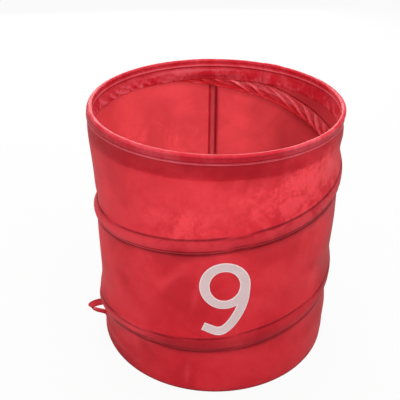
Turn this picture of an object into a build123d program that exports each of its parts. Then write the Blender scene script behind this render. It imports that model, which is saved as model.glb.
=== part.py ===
from build123d import *
from math import cos, degrees, radians, sin, sqrt
import os

# Pop-up target basket: a straight cloth tube, open at the top, held up by a coiled spring wire.
# Two closed wire rings hold the rim and the floor, and a spiral wire runs between them in a tape
# casing sewn inside the wall. Pushing the rim down flattens the spiral and the cloth.
# Millimetres. The origin is the middle of the floor's underside, +Z is up, the number faces -Y.
# Bearings are degrees about +Z from +X: 0 right, 90 back, 180 left, -90 front.

# Overall size
basket_radius = 150.0  # outside of the wall cloth
basket_height = 322.0  # from the ground to the top of the rim

# Stock
wall_cloth = 0.5
floor_cloth = 0.6
tape_cloth = 0.5
wire_diameter = 2.2
wire_sides = 6
sleeve_sides = 8
sleeve_wall = 0.4
sleeve_length = 22.0

# Clearances
sewn_gap = 0.1  # between pieces that are sewn or laid together
casing_gap = 0.15  # between the spiral casing's edges and the wall
moving_gap = 0.3  # between the rim's pieces and the pieces that stay below

# Rim: a strip folded over the ring, with its short leg outside and its long leg inside
hem_outer_depth = 11.0
hem_inner_depth = 28.0
hem_lap_bearing = 57.0
hem_lap_length = 20.0
rim_sleeve_bearing = 72.0
ring_end_gap = 1.0

# Wall, with the raised band that the spiral pushes out
back_seam_bearing = 89.6
back_seam_width = 12.0
back_seam_gap = 1.0  # from the band's highest turn at the back down to the top of the lap
band_rise = 3.2
band_crest = 10.0
band_below = 10.5  # from the path down to where the band meets the wall
band_above = 14.0
band_depth = 2.0  # how far its flanks run on inside the wall's face before the wall is hollowed

# Spiral: the wire leaves the hem at the back and winds down clockwise, seen from above
spiral_turns = 2.16
spiral_start = 138.0
spiral_drop = 5.0  # from the rim ring down to the spiral's upper end
spiral_lean = 6.8  # how far one side of each turn rides above its mean level
spiral_lean_bearing = 130.0
casing_width = 19.0
casing_slack = 0.3  # between the wire's end caps and the tape stretched over them
spiral_guide = 20.0  # how far outside the path its guide curve runs
cap_length = 6.0
cap_grip = 4.0
sections_per_turn = 16

# Floor
base_tape_foot = 2.5
base_sleeve_bearing = 80.0

# Tie loop
loop_bearing = -169.0
loop_top = 40.5
loop_drop = 27.0
loop_reach = 24.0
loop_bends = [(0.62, 0.84), (1.0, 0.53), (0.79, 0.23), (0.5, 0.08)]  # shares of its reach and drop
ribbon_width = 9.0
ribbon_cloth = 0.8

# Number
number_bottom = 91.0
number_height = 101.0
number_width = 57.0
number_middle = 13.5
number_stroke = 11.5
bowl_height = 63.0
tail_bend = (0.06, 0.3)  # in from the stem and down from the bowl, as shares of the width and height
tail_foot = 0.1  # from the bowl's middle left to the tail's lowest point, as a share of the width
tail_tip = (0.42, 0.06)  # from there on left, and up again
tail_end = (-1, 0.35)  # the way the tip points
film = 0.3

# Worked out from the sizes above
wire_radius = wire_diameter / 2
sleeve_radius = wire_radius + sleeve_wall
wall_inner = basket_radius - wall_cloth
wire_line = wall_inner - sewn_gap - sleeve_radius
rim_ring_z = basket_height - tape_cloth - sewn_gap - sleeve_radius
base_ring_z = floor_cloth + sewn_gap + sleeve_radius
wall_top = rim_ring_z - sleeve_radius - moving_gap
hem_inner = wire_line - sleeve_radius - moving_gap - tape_cloth
hem_outer = basket_radius + moving_gap + tape_cloth
hem_outer_bottom = basket_height - hem_outer_depth
hem_inner_bottom = basket_height - hem_inner_depth
base_tape_leg = sqrt(2) * (sleeve_radius * (1 + sqrt(2)) + sewn_gap)
base_tape_floor = floor_cloth + sewn_gap
base_tape_top = base_tape_floor + base_tape_leg + base_tape_foot
spiral_top = rim_ring_z - spiral_drop
spiral_bottom = base_tape_top + sewn_gap + sleeve_radius
spiral_travel = 360 * spiral_turns


def upright(bearing):
    """The upright plane through the basket's axis: local x is outwards and local y is up."""
    return Plane.XZ.rotated((0, 0, bearing))


def arc_angle(length, radius):
    """The angle that a length takes on a circle."""
    return degrees(length / radius)


def hem_points(grow):
    """The rim strip's section, an upside-down U with uneven legs, made larger by grow."""
    inner = hem_inner - grow
    outer = hem_outer + grow
    top = basket_height + grow
    return [
        (outer, hem_outer_bottom),
        (outer, top),
        (inner, top),
        (inner, hem_inner_bottom),
        (inner + tape_cloth, hem_inner_bottom),
        (inner + tape_cloth, top - tape_cloth),
        (outer - tape_cloth, top - tape_cloth),
        (outer - tape_cloth, hem_outer_bottom),
    ]


def lean_at(bearing):
    """How far the spiral rides above its mean level at a bearing."""
    return spiral_lean * cos(radians(bearing - spiral_lean_bearing))


def spiral_point(travel, radius):
    """A point on the spiral, a number of degrees of travel below its upper end."""
    bearing = spiral_start - travel
    share = travel / spiral_travel
    level_top = spiral_top - lean_at(spiral_start)
    level_bottom = spiral_bottom - lean_at(spiral_start - spiral_travel)
    level = level_top + (level_bottom - level_top) * share
    x = radius * cos(radians(bearing))
    y = radius * sin(radians(bearing))
    return (x, y, level + lean_at(bearing))


def band_face(across):
    """How far outside the wall the band's face stands, at a distance above the path."""
    foot, crest = (band_above, band_crest / 2) if across > 0 else (band_below, band_crest / 2)
    return band_rise * min(1, (foot - abs(across)) / (foot - crest))


spiral_steps = round(spiral_turns * sections_per_turn)
step_travel = spiral_travel / spiral_steps

# The sewn path runs one step past each end of the wire. The guide is the same curve further out, so
# what is swept along the path faces the axis all the way round.
sewn_steps = range(-1, spiral_steps + 2)
with BuildLine() as sewn_path:
    Spline(*[spiral_point(step_travel * i, wire_line) for i in sewn_steps])
with BuildLine() as guide:
    Spline(*[spiral_point(step_travel * i, wire_line + spiral_guide) for i in sewn_steps])
sewn_bearing = spiral_start + step_travel
sewn_outwards = (cos(radians(sewn_bearing)), sin(radians(sewn_bearing)), 0)
sewn_start = Plane(sewn_path.line @ 0, x_dir=sewn_outwards, z_dir=sewn_path.line % 0)


# Floor: the panel, and the tape that holds the floor ring in the corner
with BuildPart() as base_panel:
    with BuildSketch(Plane.XY):
        Circle(basket_radius)
    extrude(amount=floor_cloth)

with BuildPart() as base_casing:
    skew = tape_cloth * (sqrt(2) - 1)
    tape_outer = wall_inner - sewn_gap
    knee_z = base_tape_floor + base_tape_leg
    knee_r = tape_outer - base_tape_leg
    with BuildSketch(Plane.XZ):
        with BuildLine():
            Polyline(
                (tape_outer, base_tape_top),
                (tape_outer, knee_z),
                (knee_r, base_tape_floor),
                (knee_r - tape_cloth * sqrt(2), base_tape_floor),
                (tape_outer - tape_cloth, knee_z + skew),
                (tape_outer - tape_cloth, base_tape_top),
                close=True,
            )
        make_face()
    revolve(axis=Axis.Z)

# The two rings, each a bent wire whose ends meet inside a crimped sleeve
ring_arc = 360 - arc_angle(ring_end_gap, wire_line)
ring_meeting = arc_angle(ring_end_gap, wire_line) / 2
sleeve_arc = arc_angle(sleeve_length, wire_line)

with BuildPart() as base_ring:
    with BuildSketch(upright(base_sleeve_bearing + ring_meeting)):
        with Locations((wire_line, base_ring_z)):
            RegularPolygon(wire_radius, wire_sides)
    revolve(axis=Axis.Z, revolution_arc=ring_arc)

with BuildPart() as base_sleeve:
    with BuildSketch(upright(base_sleeve_bearing - sleeve_arc / 2)):
        with Locations((wire_line, base_ring_z)):
            RegularPolygon(sleeve_radius, sleeve_sides)
            RegularPolygon(wire_radius, wire_sides, mode=Mode.SUBTRACT)
    revolve(axis=Axis.Z, revolution_arc=sleeve_arc)

with BuildPart() as rim_ring:
    with BuildSketch(upright(rim_sleeve_bearing + ring_meeting)):
        with Locations((wire_line, rim_ring_z)):
            RegularPolygon(wire_radius, wire_sides)
    revolve(axis=Axis.Z, revolution_arc=ring_arc)

with BuildPart() as rim_sleeve:
    with BuildSketch(upright(rim_sleeve_bearing - sleeve_arc / 2)):
        with Locations((wire_line, rim_ring_z)):
            RegularPolygon(sleeve_radius, sleeve_sides)
            RegularPolygon(wire_radius, wire_sides, mode=Mode.SUBTRACT)
    revolve(axis=Axis.Z, revolution_arc=sleeve_arc)

# Wall: one sheet rolled into a tube, with its ends lapped and sewn up the back. Where the spiral's
# casing is sewn to it, it stands out in a hollow band.
band_top = hem_outer_bottom - moving_gap
casing_top = hem_inner_bottom - moving_gap
casing_bottom = base_tape_top + sewn_gap
band_foot = basket_radius - wire_line
with BuildSketch() as band_section:
    with BuildLine():
        Polyline(
            (band_foot - band_depth, -band_below - band_depth * (band_below - band_crest / 2) / band_rise),
            (band_foot + band_rise, -band_crest / 2),
            (band_foot + band_rise, band_crest / 2),
            (band_foot - band_depth, band_above + band_depth * (band_above - band_crest / 2) / band_rise),
            close=True,
        )
    make_face()

with BuildPart() as band:
    with BuildSketch(sewn_start):
        add(band_section.sketch)
    sweep(path=sewn_path.line, binormal=guide.line.edge())
    split(bisect_by=Plane.XY.offset(band_top), keep=Keep.BOTTOM)
    split(bisect_by=Plane.XY.offset(floor_cloth), keep=Keep.TOP)

with BuildPart() as band_hollow:
    with BuildSketch(sewn_start):
        add(band_section.sketch)
        offset(amount=-wall_cloth, kind=Kind.INTERSECTION, mode=Mode.REPLACE)
    sweep(path=sewn_path.line, binormal=guide.line.edge())
    split(bisect_by=Plane.XY.offset(casing_top), keep=Keep.BOTTOM)
    split(bisect_by=Plane.XY.offset(casing_bottom), keep=Keep.TOP)

seam_far = back_seam_bearing + arc_angle(back_seam_width, basket_radius)
high_turn = spiral_point(spiral_start - back_seam_bearing, wire_line)[2]
low_turn = spiral_point(spiral_start - seam_far + 360 * int(spiral_turns), wire_line)[2]
back_seam_top = high_turn - band_below - back_seam_gap
back_seam_bottom = low_turn + band_crest / 2 + wall_cloth
with BuildPart() as wall_panel:
    with BuildSketch(Plane.XY.offset(floor_cloth)):
        Circle(basket_radius)
    extrude(amount=wall_top - floor_cloth)
    add(band.part)
    with BuildSketch(upright(back_seam_bearing)):
        with Locations((basket_radius, back_seam_bottom)):
            Rectangle(wall_cloth, back_seam_top - back_seam_bottom, align=(Align.MIN, Align.MIN))
    revolve(axis=Axis.Z, revolution_arc=seam_far - back_seam_bearing)
    with BuildSketch(Plane.XY):
        Circle(wall_inner)
    extrude(amount=basket_height, mode=Mode.SUBTRACT)
    add(band_hollow.part, mode=Mode.SUBTRACT)

# Spiral: the spring wire, its two end caps, and the tape stretched over it against the wall
with BuildPart() as spiral_wire:
    with BuildLine() as spiral_path:
        Spline(*[spiral_point(step_travel * i, wire_line) for i in range(spiral_steps + 1)])
    outwards = (cos(radians(spiral_start)), sin(radians(spiral_start)), 0)
    with BuildSketch(Plane(spiral_path.line @ 0, x_dir=outwards, z_dir=spiral_path.line % 0)):
        RegularPolygon(wire_radius, wire_sides)
    sweep(path=spiral_path.line, is_frenet=True)

with BuildPart() as spiral_caps:
    for end, inwards in ((0, 1), (1, -1)):
        along = (spiral_path.line % end) * inwards
        mouth = (spiral_path.line @ end) + along * cap_grip
        with BuildSketch(Plane(mouth, z_dir=along * -1)):
            RegularPolygon(sleeve_radius, sleeve_sides)
        extrude(amount=cap_length)
    add(spiral_wire.part, mode=Mode.SUBTRACT)

with BuildPart() as spiral_casing:
    edge = wall_inner - casing_gap - wire_line
    low_edge = edge + band_face(-casing_width / 2)
    high_edge = edge + band_face(casing_width / 2)
    tent = -sleeve_radius - casing_slack
    with BuildSketch(sewn_start):
        with BuildLine():
            Polyline(
                (low_edge, -casing_width / 2),
                (tent, 0),
                (high_edge, casing_width / 2),
                (high_edge - tape_cloth, casing_width / 2),
                (tent - tape_cloth, 0),
                (low_edge - tape_cloth, -casing_width / 2),
                close=True,
            )
        make_face()
    sweep(path=sewn_path.line, binormal=guide.line.edge())
    split(bisect_by=Plane.XY.offset(casing_top), keep=Keep.BOTTOM)
    split(bisect_by=Plane.XY.offset(casing_bottom), keep=Keep.TOP)

# Rim: the hem folds over the ring and the wall's top edge, and its end laps over its start
with BuildPart() as rim_hem:
    with BuildSketch(Plane.XZ):
        with BuildLine():
            Polyline(*hem_points(0), close=True)
        make_face()
    revolve(axis=Axis.Z)
    with BuildSketch(upright(hem_lap_bearing)):
        with BuildLine():
            Polyline(*hem_points(tape_cloth), close=True)
        make_face()
    revolve(axis=Axis.Z, revolution_arc=arc_angle(hem_lap_length, basket_radius))

# Tie loop: a ribbon stitched to the wall at the left, standing open below the band
with BuildPart() as tie_loop:
    wall_side = basket_radius + sewn_gap / 2
    loop_bottom = loop_top - loop_drop
    with BuildSketch(upright(loop_bearing)):
        with BuildLine():
            Polyline(
                (wall_side, loop_top),
                *[(wall_side + out * loop_reach, loop_bottom + up * loop_drop) for out, up in loop_bends],
                (wall_side, loop_bottom),
                close=True,
            )
        make_face()
        offset(amount=-ribbon_cloth, kind=Kind.INTERSECTION, mode=Mode.SUBTRACT)
    extrude(amount=ribbon_width / 2, both=True)

# Number: a plain 9 cut from film, laid round the front of the wall
with BuildPart() as number_patch:
    half_stroke = number_stroke / 2
    bowl_z = number_bottom + number_height - bowl_height / 2
    bowl_rx = number_width / 2 - half_stroke
    bowl_rz = bowl_height / 2 - half_stroke
    tail_z = number_bottom + half_stroke
    stem_x = number_middle + bowl_rx
    with BuildSketch(Plane.XZ):
        with BuildLine() as tail:
            Spline(
                (stem_x, bowl_z),
                (stem_x - tail_bend[0] * number_width, bowl_z - tail_bend[1] * number_height),
                (number_middle - tail_foot * number_width, tail_z),
                (number_middle - tail_tip[0] * number_width, tail_z + tail_tip[1] * number_height),
                tangents=[(0, -1), tail_end],
            )
        trace(line_width=number_stroke)
        with Locations((number_middle, bowl_z)):
            Ellipse(bowl_rx + half_stroke, bowl_rz + half_stroke)
            Ellipse(bowl_rx - half_stroke, bowl_rz - half_stroke, mode=Mode.SUBTRACT)
    extrude(amount=basket_radius + number_width)
    with BuildSketch(Plane.XY.offset(number_bottom - number_stroke)):
        Circle(basket_radius + film)
        Circle(basket_radius, mode=Mode.SUBTRACT)
    extrude(amount=number_height + 2 * number_stroke, mode=Mode.INTERSECT)


os.makedirs("parts", exist_ok=True)
pieces = {
    "base_panel": base_panel,
    "base_casing": base_casing,
    "base_ring": base_ring,
    "base_sleeve": base_sleeve,
    "wall_panel": wall_panel,
    "spiral_wire": spiral_wire,
    "spiral_caps": spiral_caps,
    "spiral_casing": spiral_casing,
    "rim_ring": rim_ring,
    "rim_sleeve": rim_sleeve,
    "rim_hem": rim_hem,
    "tie_loop": tie_loop,
    "number_patch": number_patch,
}
for name, piece in pieces.items():
    piece.part.label = name
    export_step(piece.part, f"parts/{name}.step")
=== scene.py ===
"""Looks of a pop-up target basket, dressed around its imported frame.

The basket is a straight tube of thin red cloth. A coiled spring wire, sewn into a gathered tape inside the
wall, holds it open, and one closed wire ring holds the rim and another the floor. Lengths are in metres.
A bearing is an angle about +Z in degrees from +X. Where it goes on past a whole turn it is called unwrapped.
"""

import logging
import math
from dataclasses import dataclass
from enum import Enum
from typing import Callable, ClassVar, Mapping, Sequence

import bmesh
import bpy
import numpy as np
from bpy.types import Material, Mesh, Node, NodeSocket, NodeTree, Object
from mathutils import Matrix, Vector, noise

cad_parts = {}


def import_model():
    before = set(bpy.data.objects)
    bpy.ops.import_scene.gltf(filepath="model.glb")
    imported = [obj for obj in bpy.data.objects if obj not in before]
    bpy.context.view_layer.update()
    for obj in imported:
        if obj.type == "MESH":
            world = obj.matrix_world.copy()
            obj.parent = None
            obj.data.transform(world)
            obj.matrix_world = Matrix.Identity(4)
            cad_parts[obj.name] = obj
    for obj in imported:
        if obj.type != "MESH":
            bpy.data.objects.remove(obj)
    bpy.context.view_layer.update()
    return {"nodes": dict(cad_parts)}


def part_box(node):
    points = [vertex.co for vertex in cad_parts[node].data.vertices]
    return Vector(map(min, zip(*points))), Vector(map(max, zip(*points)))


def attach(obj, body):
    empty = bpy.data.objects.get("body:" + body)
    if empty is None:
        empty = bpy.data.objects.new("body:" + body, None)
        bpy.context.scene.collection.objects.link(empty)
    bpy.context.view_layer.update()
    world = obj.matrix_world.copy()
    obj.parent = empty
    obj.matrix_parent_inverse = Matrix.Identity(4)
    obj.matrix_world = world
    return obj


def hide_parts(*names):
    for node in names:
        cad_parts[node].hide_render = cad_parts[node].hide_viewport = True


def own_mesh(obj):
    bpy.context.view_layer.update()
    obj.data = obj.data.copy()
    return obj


Array = np.ndarray
Pair = tuple[float, float]
Steps = tuple[Pair, ...]
Marks = Mapping[str, Array | float]

LOG = logging.getLogger("basket")
MM = 0.001
TURN = 360.0


# ---- Node trees written as Python expressions ----


class Value:
    """An output socket of a node, or a field, that Python's operators turn into Math nodes."""

    def __init__(self, tree: "Tree", socket: NodeSocket) -> None:
        """Wraps an output socket of a node in a tree."""
        self.tree = tree
        self.socket = socket

    def __add__(self, other: "Value | float") -> "Value":
        """Adds another value or number."""
        return self.tree.math("ADD", self, other)

    __radd__ = __add__

    def __sub__(self, other: "Value | float") -> "Value":
        """Subtracts another value or number."""
        return self.tree.math("SUBTRACT", self, other)

    def __rsub__(self, other: float) -> "Value":
        """Is subtracted from a number."""
        return self.tree.math("SUBTRACT", other, self)

    def __mul__(self, other: "Value | float") -> "Value":
        """Multiplies by another value or number."""
        return self.tree.math("MULTIPLY", self, other)

    __rmul__ = __mul__

    def __truediv__(self, other: "Value | float") -> "Value":
        """Divides by another value or number."""
        return self.tree.math("DIVIDE", self, other)

    def clamped(self) -> "Value":
        """Is held between 0 and 1."""
        return self.tree.math("MINIMUM", self.tree.math("MAXIMUM", self, 0.0), 1.0)


class Tree:
    """A node tree that is filled from Python, for a material or for geometry."""

    def __init__(self, tree: NodeTree) -> None:
        """Wraps an empty node tree."""
        self.tree = tree

    def feed(self, socket: NodeSocket, value: object) -> None:
        """Gives an input socket a link or a constant.

        Args:
            socket: The input socket.
            value: A Value, an output socket, or a constant of the socket's kind.
        """
        if isinstance(value, Value):
            self.tree.links.new(value.socket, socket)
        elif isinstance(value, NodeSocket):
            self.tree.links.new(value, socket)
        else:
            socket.default_value = value

    def node(self, kind: str, settings: Mapping | None = None, inputs: Mapping | None = None) -> Node:
        """Adds a node.

        Args:
            kind: The node's type, such as ShaderNodeBump.
            settings: Its settings, set first.
            inputs: Values or links for its input sockets, by name or number.

        Returns:
            The node.
        """
        made = self.tree.nodes.new(kind)
        for name, setting in (settings or {}).items():
            setattr(made, name, setting)
        for name, value in (inputs or {}).items():
            self.feed(made.inputs[name], value)
        return made

    def out(self, kind: str, output: str | int, **parts: Mapping) -> Value:
        """Adds a node and returns one of its outputs, with settings= and inputs= as in node."""
        return Value(self, self.node(kind, **parts).outputs[output])

    def math(self, operation: str, *values: "Value | float") -> Value:
        """Adds a Math node for an operation on values.

        Args:
            operation: The node's operation.
            values: What it works on.

        Returns:
            The result.
        """
        made = self.node("ShaderNodeMath", {"operation": operation})
        for socket, value in zip(made.inputs, values):
            self.feed(socket, value)
        return Value(self, made.outputs[0])

    def split(self, vector: Value) -> tuple[Value, Value, Value]:
        """The three parts of a vector."""
        made = self.node("ShaderNodeSeparateXYZ", inputs={0: vector})
        return tuple(Value(self, made.outputs[i]) for i in range(3))

    def join(self, x: "Value | float", y: "Value | float", z: "Value | float") -> Value:
        """A vector from three values."""
        return self.out("ShaderNodeCombineXYZ", 0, inputs={0: x, 1: y, 2: z})

    def rays(self, *kinds: str) -> Value:
        """Is 1 on rays of the given kinds and 0 on all others.

        Args:
            kinds: Outputs of the Light Path node.

        Returns:
            1 on those rays.
        """
        path = self.node("ShaderNodeLightPath")
        first, *others = (Value(self, path.outputs[kind]) for kind in kinds)
        return sum(others, first).clamped()


class ShaderTree(Tree):
    """The node tree of a material."""

    def __init__(self, material: Material) -> None:
        """Empties the material's tree and keeps it.

        Args:
            material: A new material.
        """
        material.use_nodes = True
        material.node_tree.nodes.clear()
        super().__init__(material.node_tree)

    @property
    def place(self) -> Value:
        """Where a point lies in the object's own space."""
        return self.out("ShaderNodeTexCoord", "Object")

    def mix(self, factor: "Value | float", low: object, high: object) -> Value:
        """A colour mixed with a share, or factor, of a second one."""
        settings = {"data_type": "RGBA", "blend_type": "MIX", "clamp_factor": True}
        return self.out("ShaderNodeMix", 2, settings=settings, inputs={0: factor, 6: low, 7: high})

    def attribute(self, name: str) -> Value:
        """A number stored on the mesh's points, 0 where the mesh has none."""
        return self.out("ShaderNodeAttribute", "Fac", settings={"attribute_name": name})

    def noise(self, where: Value, scale: float, detail: float = 2.0, warp: float = 0.0) -> Value:
        """Noise from 0 to 1, with scale lumps to a metre and detail octaves, distorted by warp."""
        inputs = {"Vector": where, "Scale": scale, "Detail": detail, "Distortion": warp}
        return self.out("ShaderNodeTexNoise", "Fac", inputs=inputs)

    def bump(self, height: Value, distance: float, strength: float, **more: object) -> Value:
        """A normal that follows a height from 0 to 1, where 1 stands distance metres high."""
        inputs = {"Height": height, "Distance": distance, "Strength": strength, **more}
        return self.out("ShaderNodeBump", 0, inputs=inputs)

    def surface(self, colour: object, roughness: object, **more: object) -> NodeSocket:
        """A plain surface shader, with more of its inputs by name."""
        inputs = {"Base Color": colour, "Roughness": roughness, **more}
        return self.node("ShaderNodeBsdfPrincipled", inputs=inputs).outputs[0]

    def blend(self, share: object, first: object, second: object) -> NodeSocket:
        """Mixes two shaders, with share of the second."""
        return self.node("ShaderNodeMixShader", inputs={0: share, 1: first, 2: second}).outputs[0]


@dataclass(frozen=True)
class Maths:
    """The functions that a law needs, for arrays or for nodes."""

    cos: Callable
    exp: Callable


Field = Array | float | Value
ARRAYS = Maths(np.cos, np.exp)


class GeometryTree(Tree):
    """A Geometry Nodes tree with named inputs that ends in Realize Instances and Set Material."""

    def __init__(self, name: str) -> None:
        """Makes an empty tree with one geometry input and one geometry output.

        Args:
            name: The tree's name.
        """
        super().__init__(bpy.data.node_groups.new(name, "GeometryNodeTree"))
        face = self.tree.interface
        face.new_socket("Geometry", in_out="INPUT", socket_type="NodeSocketGeometry")
        face.new_socket("Geometry", in_out="OUTPUT", socket_type="NodeSocketGeometry")
        self._entry = self.tree.nodes.new("NodeGroupInput")
        self._identifiers: dict[str, str] = {}

    @property
    def geometry(self) -> Value:
        """The geometry that comes in."""
        return Value(self, self._entry.outputs["Geometry"])

    def input(self, name: str, kind: str = "Float") -> Value:
        """Adds a named input.

        Args:
            name: The input's name.
            kind: Float, Int or Material.

        Returns:
            The input as a value.
        """
        made = self.tree.interface.new_socket(name, in_out="INPUT", socket_type="NodeSocket" + kind)
        self._identifiers[name] = made.identifier
        return Value(self, self._entry.outputs[name])

    def close(self, geometry: object) -> None:
        """Ends the tree: real geometry in its finish, shaded smooth.

        Args:
            geometry: What the tree has made.
        """
        real = self.out("GeometryNodeRealizeInstances", 0, inputs={0: geometry})
        smooth = self.out("GeometryNodeSetShadeSmooth", 0, inputs={0: real})
        inputs = {"Geometry": smooth, "Material": self.input("Finish", "Material")}
        self.node("NodeGroupOutput", inputs={0: self.out("GeometryNodeSetMaterial", 0, inputs=inputs)})

    def build(self, name: str, values: Mapping[str, object], start: Mesh | None = None) -> Object:
        """Runs the tree and keeps its result as a plain mesh.

        Args:
            name: The piece's name.
            values: A value for each named input.
            start: The mesh that goes in, if the tree uses one.

        Returns:
            The piece.
        """
        piece = link(name, start or bpy.data.meshes.new(name))
        modifier = piece.modifiers.new("rule", "NODES")
        modifier.node_group = self.tree
        for key, identifier in self._identifiers.items():
            modifier[identifier] = values[key]
        bake_modifiers(piece)
        return piece


# ---- Small helpers for meshes ----


def link(name: str, mesh: Mesh) -> Object:
    """Puts a mesh into the scene as an object at the origin.

    Args:
        name: The object's name.
        mesh: Its mesh.

    Returns:
        The object.
    """
    piece = bpy.data.objects.new(name, mesh)
    bpy.context.scene.collection.objects.link(piece)
    return piece


def bake_modifiers(piece: Object) -> None:
    """Turns a piece's modifiers into plain mesh and removes them.

    Args:
        piece: The piece.
    """
    graph = bpy.context.evaluated_depsgraph_get()
    made = bpy.data.meshes.new_from_object(piece.evaluated_get(graph), depsgraph=graph)
    piece.modifiers.clear()
    piece.data = made
    made.name = piece.name


def grid_mesh(name: str, points: Array, uv: Array, marks: Marks) -> Mesh:
    """A sheet of quads.

    Args:
        name: The mesh's name.
        points: Its points, as rows by columns by three.
        uv: Where each point lies on the flat cloth, in metres, as rows by columns by two.
        marks: Numbers to store on the points, by name.

    Returns:
        The mesh, one layer thick.
    """
    rows, columns = points.shape[:2]
    at = np.arange(rows * columns).reshape(rows, columns)
    quads = np.stack([at[:-1, :-1], at[:-1, 1:], at[1:, 1:], at[1:, :-1]], axis=-1).reshape(-1, 4)
    mesh = bpy.data.meshes.new(name)
    mesh.from_pydata(points.reshape(-1, 3).tolist(), [], quads.tolist())
    layer = mesh.uv_layers.new(name="cloth")
    layer.uv.foreach_set("vector", uv.reshape(-1, 2)[quads.ravel()].astype(np.float32).ravel())
    store_marks(mesh, marks, (rows, columns))
    mesh.shade_smooth()
    return mesh


def store_marks(mesh: Mesh, marks: Marks, shape: tuple[int, int]) -> None:
    """Stores numbers on a mesh's points for its finish to read.

    Args:
        mesh: The mesh.
        marks: A number for each point, or one for all of them, by name.
        shape: The rows and columns of the mesh's points.
    """
    for mark, values in marks.items():
        stored = mesh.attributes.new(mark, "FLOAT", "POINT")
        stored.data.foreach_set("value", np.broadcast_to(values, shape).astype(np.float32).ravel())


def thicken(piece: Object, thickness: float, *materials: Material) -> None:
    """Gives a one-layer sheet its thickness, inwards from its face, and its finishes.

    Args:
        piece: The sheet.
        thickness: In metres.
        materials: Its finishes.
    """
    for material in materials:
        piece.data.materials.append(material)
    solid = piece.modifiers.new("thickness", "SOLIDIFY")
    solid.thickness = thickness
    solid.offset = -1.0
    solid.use_even_offset = False
    bake_modifiers(piece)


def ramp(low: float, high: float, value: Array) -> Array:
    """Goes smoothly from 0 at low to 1 at high."""
    t = np.clip((value - low) / (high - low), 0.0, 1.0)
    return t * t * (3.0 - 2.0 * t)


def hump(value: Array, width: float, power: float = 2.0) -> Array:
    """A bell of height 1 about 0, with a flatter top for a higher power."""
    return np.exp(-np.abs(value / width) ** power)


def noise_at(u: Array, v: Array, seed: float) -> Array:
    """Smooth noise from about -1 to 1 over two coordinates, the same at each run."""
    flat = [noise.noise(Vector((a, b, seed))) for a, b in zip(u.ravel(), v.ravel())]
    return np.array(flat).reshape(u.shape)


def ring_noise(bearing: Array, v: Array, lumps: float, seed: float) -> Array:
    """Smooth noise that meets itself after a whole turn.

    Args:
        bearing: Degrees.
        v: The other coordinate, in lumps.
        lumps: How many lumps there are in a turn.
        seed: Which noise.

    Returns:
        The noise, from about -1 to 1.
    """
    reach = lumps / math.tau
    x = reach * np.cos(np.radians(bearing))
    y = reach * np.sin(np.radians(bearing))
    v = np.broadcast_to(v, x.shape)
    flat = [noise.noise(Vector((a, b, c + seed))) for a, b, c in zip(x.ravel(), y.ravel(), v.ravel())]
    return np.array(flat).reshape(x.shape)


def lengths(line: Array) -> Array:
    """How far each point of a line is from its start, along the line."""
    return np.concatenate([[0.0], np.cumsum(np.linalg.norm(np.diff(line, axis=0), axis=1))])


def beside(radius: float, height: float, steps: Sequence[Pair]) -> list[Pair]:
    """Points of a section, given in millimetres outwards and upwards from one of its corners."""
    return [(radius + outwards * MM, height + upwards * MM) for outwards, upwards in steps]


def resample(line: Array, count: int) -> Array:
    """Points at even steps along a smooth curve through a line's points.

    Args:
        line: Points by two.
        count: How many to return.

    Returns:
        The new points.
    """
    spline = []
    padded = np.vstack([2 * line[0] - line[1], line, 2 * line[-1] - line[-2]])
    for a, b, c, d in zip(padded[:-3], padded[1:-2], padded[2:-1], padded[3:]):
        for t in np.linspace(0.0, 1.0, 8, endpoint=False):
            square, cube = 2 * a - 5 * b + 4 * c - d, 3 * b - a - 3 * c + d
            spline.append(0.5 * (2 * b + (c - a) * t + square * t**2 + cube * t**3))
    spline.append(line[-1])
    spline = np.array(spline)
    reach = lengths(spline)
    steps = np.linspace(0.0, reach[-1], count)
    return np.stack([np.interp(steps, reach, spline[:, i]) for i in range(line.shape[1])], axis=1)


def around(bearing: Array, radius: Array, height: Array) -> Array:
    """Points from bearing, radius and height."""
    turn = np.radians(bearing)
    return np.stack(np.broadcast_arrays(radius * np.cos(turn), radius * np.sin(turn), height), axis=-1)


def facing(bearing: Array, centre: float = 0.0) -> Array:
    """Goes smoothly from 1 at a centre to -1 on the opposite side."""
    return np.cos(np.radians(bearing - centre))


def bearing_gap(bearing: Array, centre: float) -> Array:
    """Degrees from a bearing, between -180 and 180."""
    return (bearing - centre + TURN / 2) % TURN - TURN / 2


# ---- Finishes ----

Colour = tuple[float, float, float, float]


def tint(red: float, green: float, blue: float) -> Colour:
    """A colour from its screen values between 0 and 1."""
    parts = (red, green, blue)
    return tuple(p / 12.92 if p <= 0.04045 else ((p + 0.055) / 1.055) ** 2.4 for p in parts) + (1.0,)


def darker(colour: Colour, share: float) -> Colour:
    """A colour with only a share of its light."""
    return tuple(share * part for part in colour[:3]) + (1.0,)


WHITE: Colour = (1.0, 1.0, 1.0, 1.0)


class Mark(str, Enum):
    """Numbers stored on a cloth's points for its finish to read; most of them paint light or shade into its
    colour.
    """

    # painted shade: darker colour in seams, grooves, pleat valleys and along edges
    SEAM = "seam"
    # painted shade: darker colour where cloth lies doubled or where less light falls
    DOUBLE = "double"
    # real crinkles in bump and roughness, and painted sheen mottling in the colour
    CRINKLE_SHEEN = "crinkle"
    # painted highlight: paler colour along crests, folds, seams and lit edges
    HIGHLIGHT = "lit"
    THIN = "thin"


class Finish:
    """A finish that builds its own material. Each kind is a frozen dataclass with the material's name."""

    name: str

    def make(self) -> Material:
        """Builds the material.

        Returns:
            The material.
        """
        material = bpy.data.materials.new(self.name)
        tree = ShaderTree(material)
        tree.node("ShaderNodeOutputMaterial", inputs={"Surface": self.shade(tree)})
        return material

    def shade(self, tree: ShaderTree) -> NodeSocket:
        """Builds the nodes.

        Args:
            tree: The material's empty tree.

        Returns:
            The finished shader.
        """
        raise NotImplementedError


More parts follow.
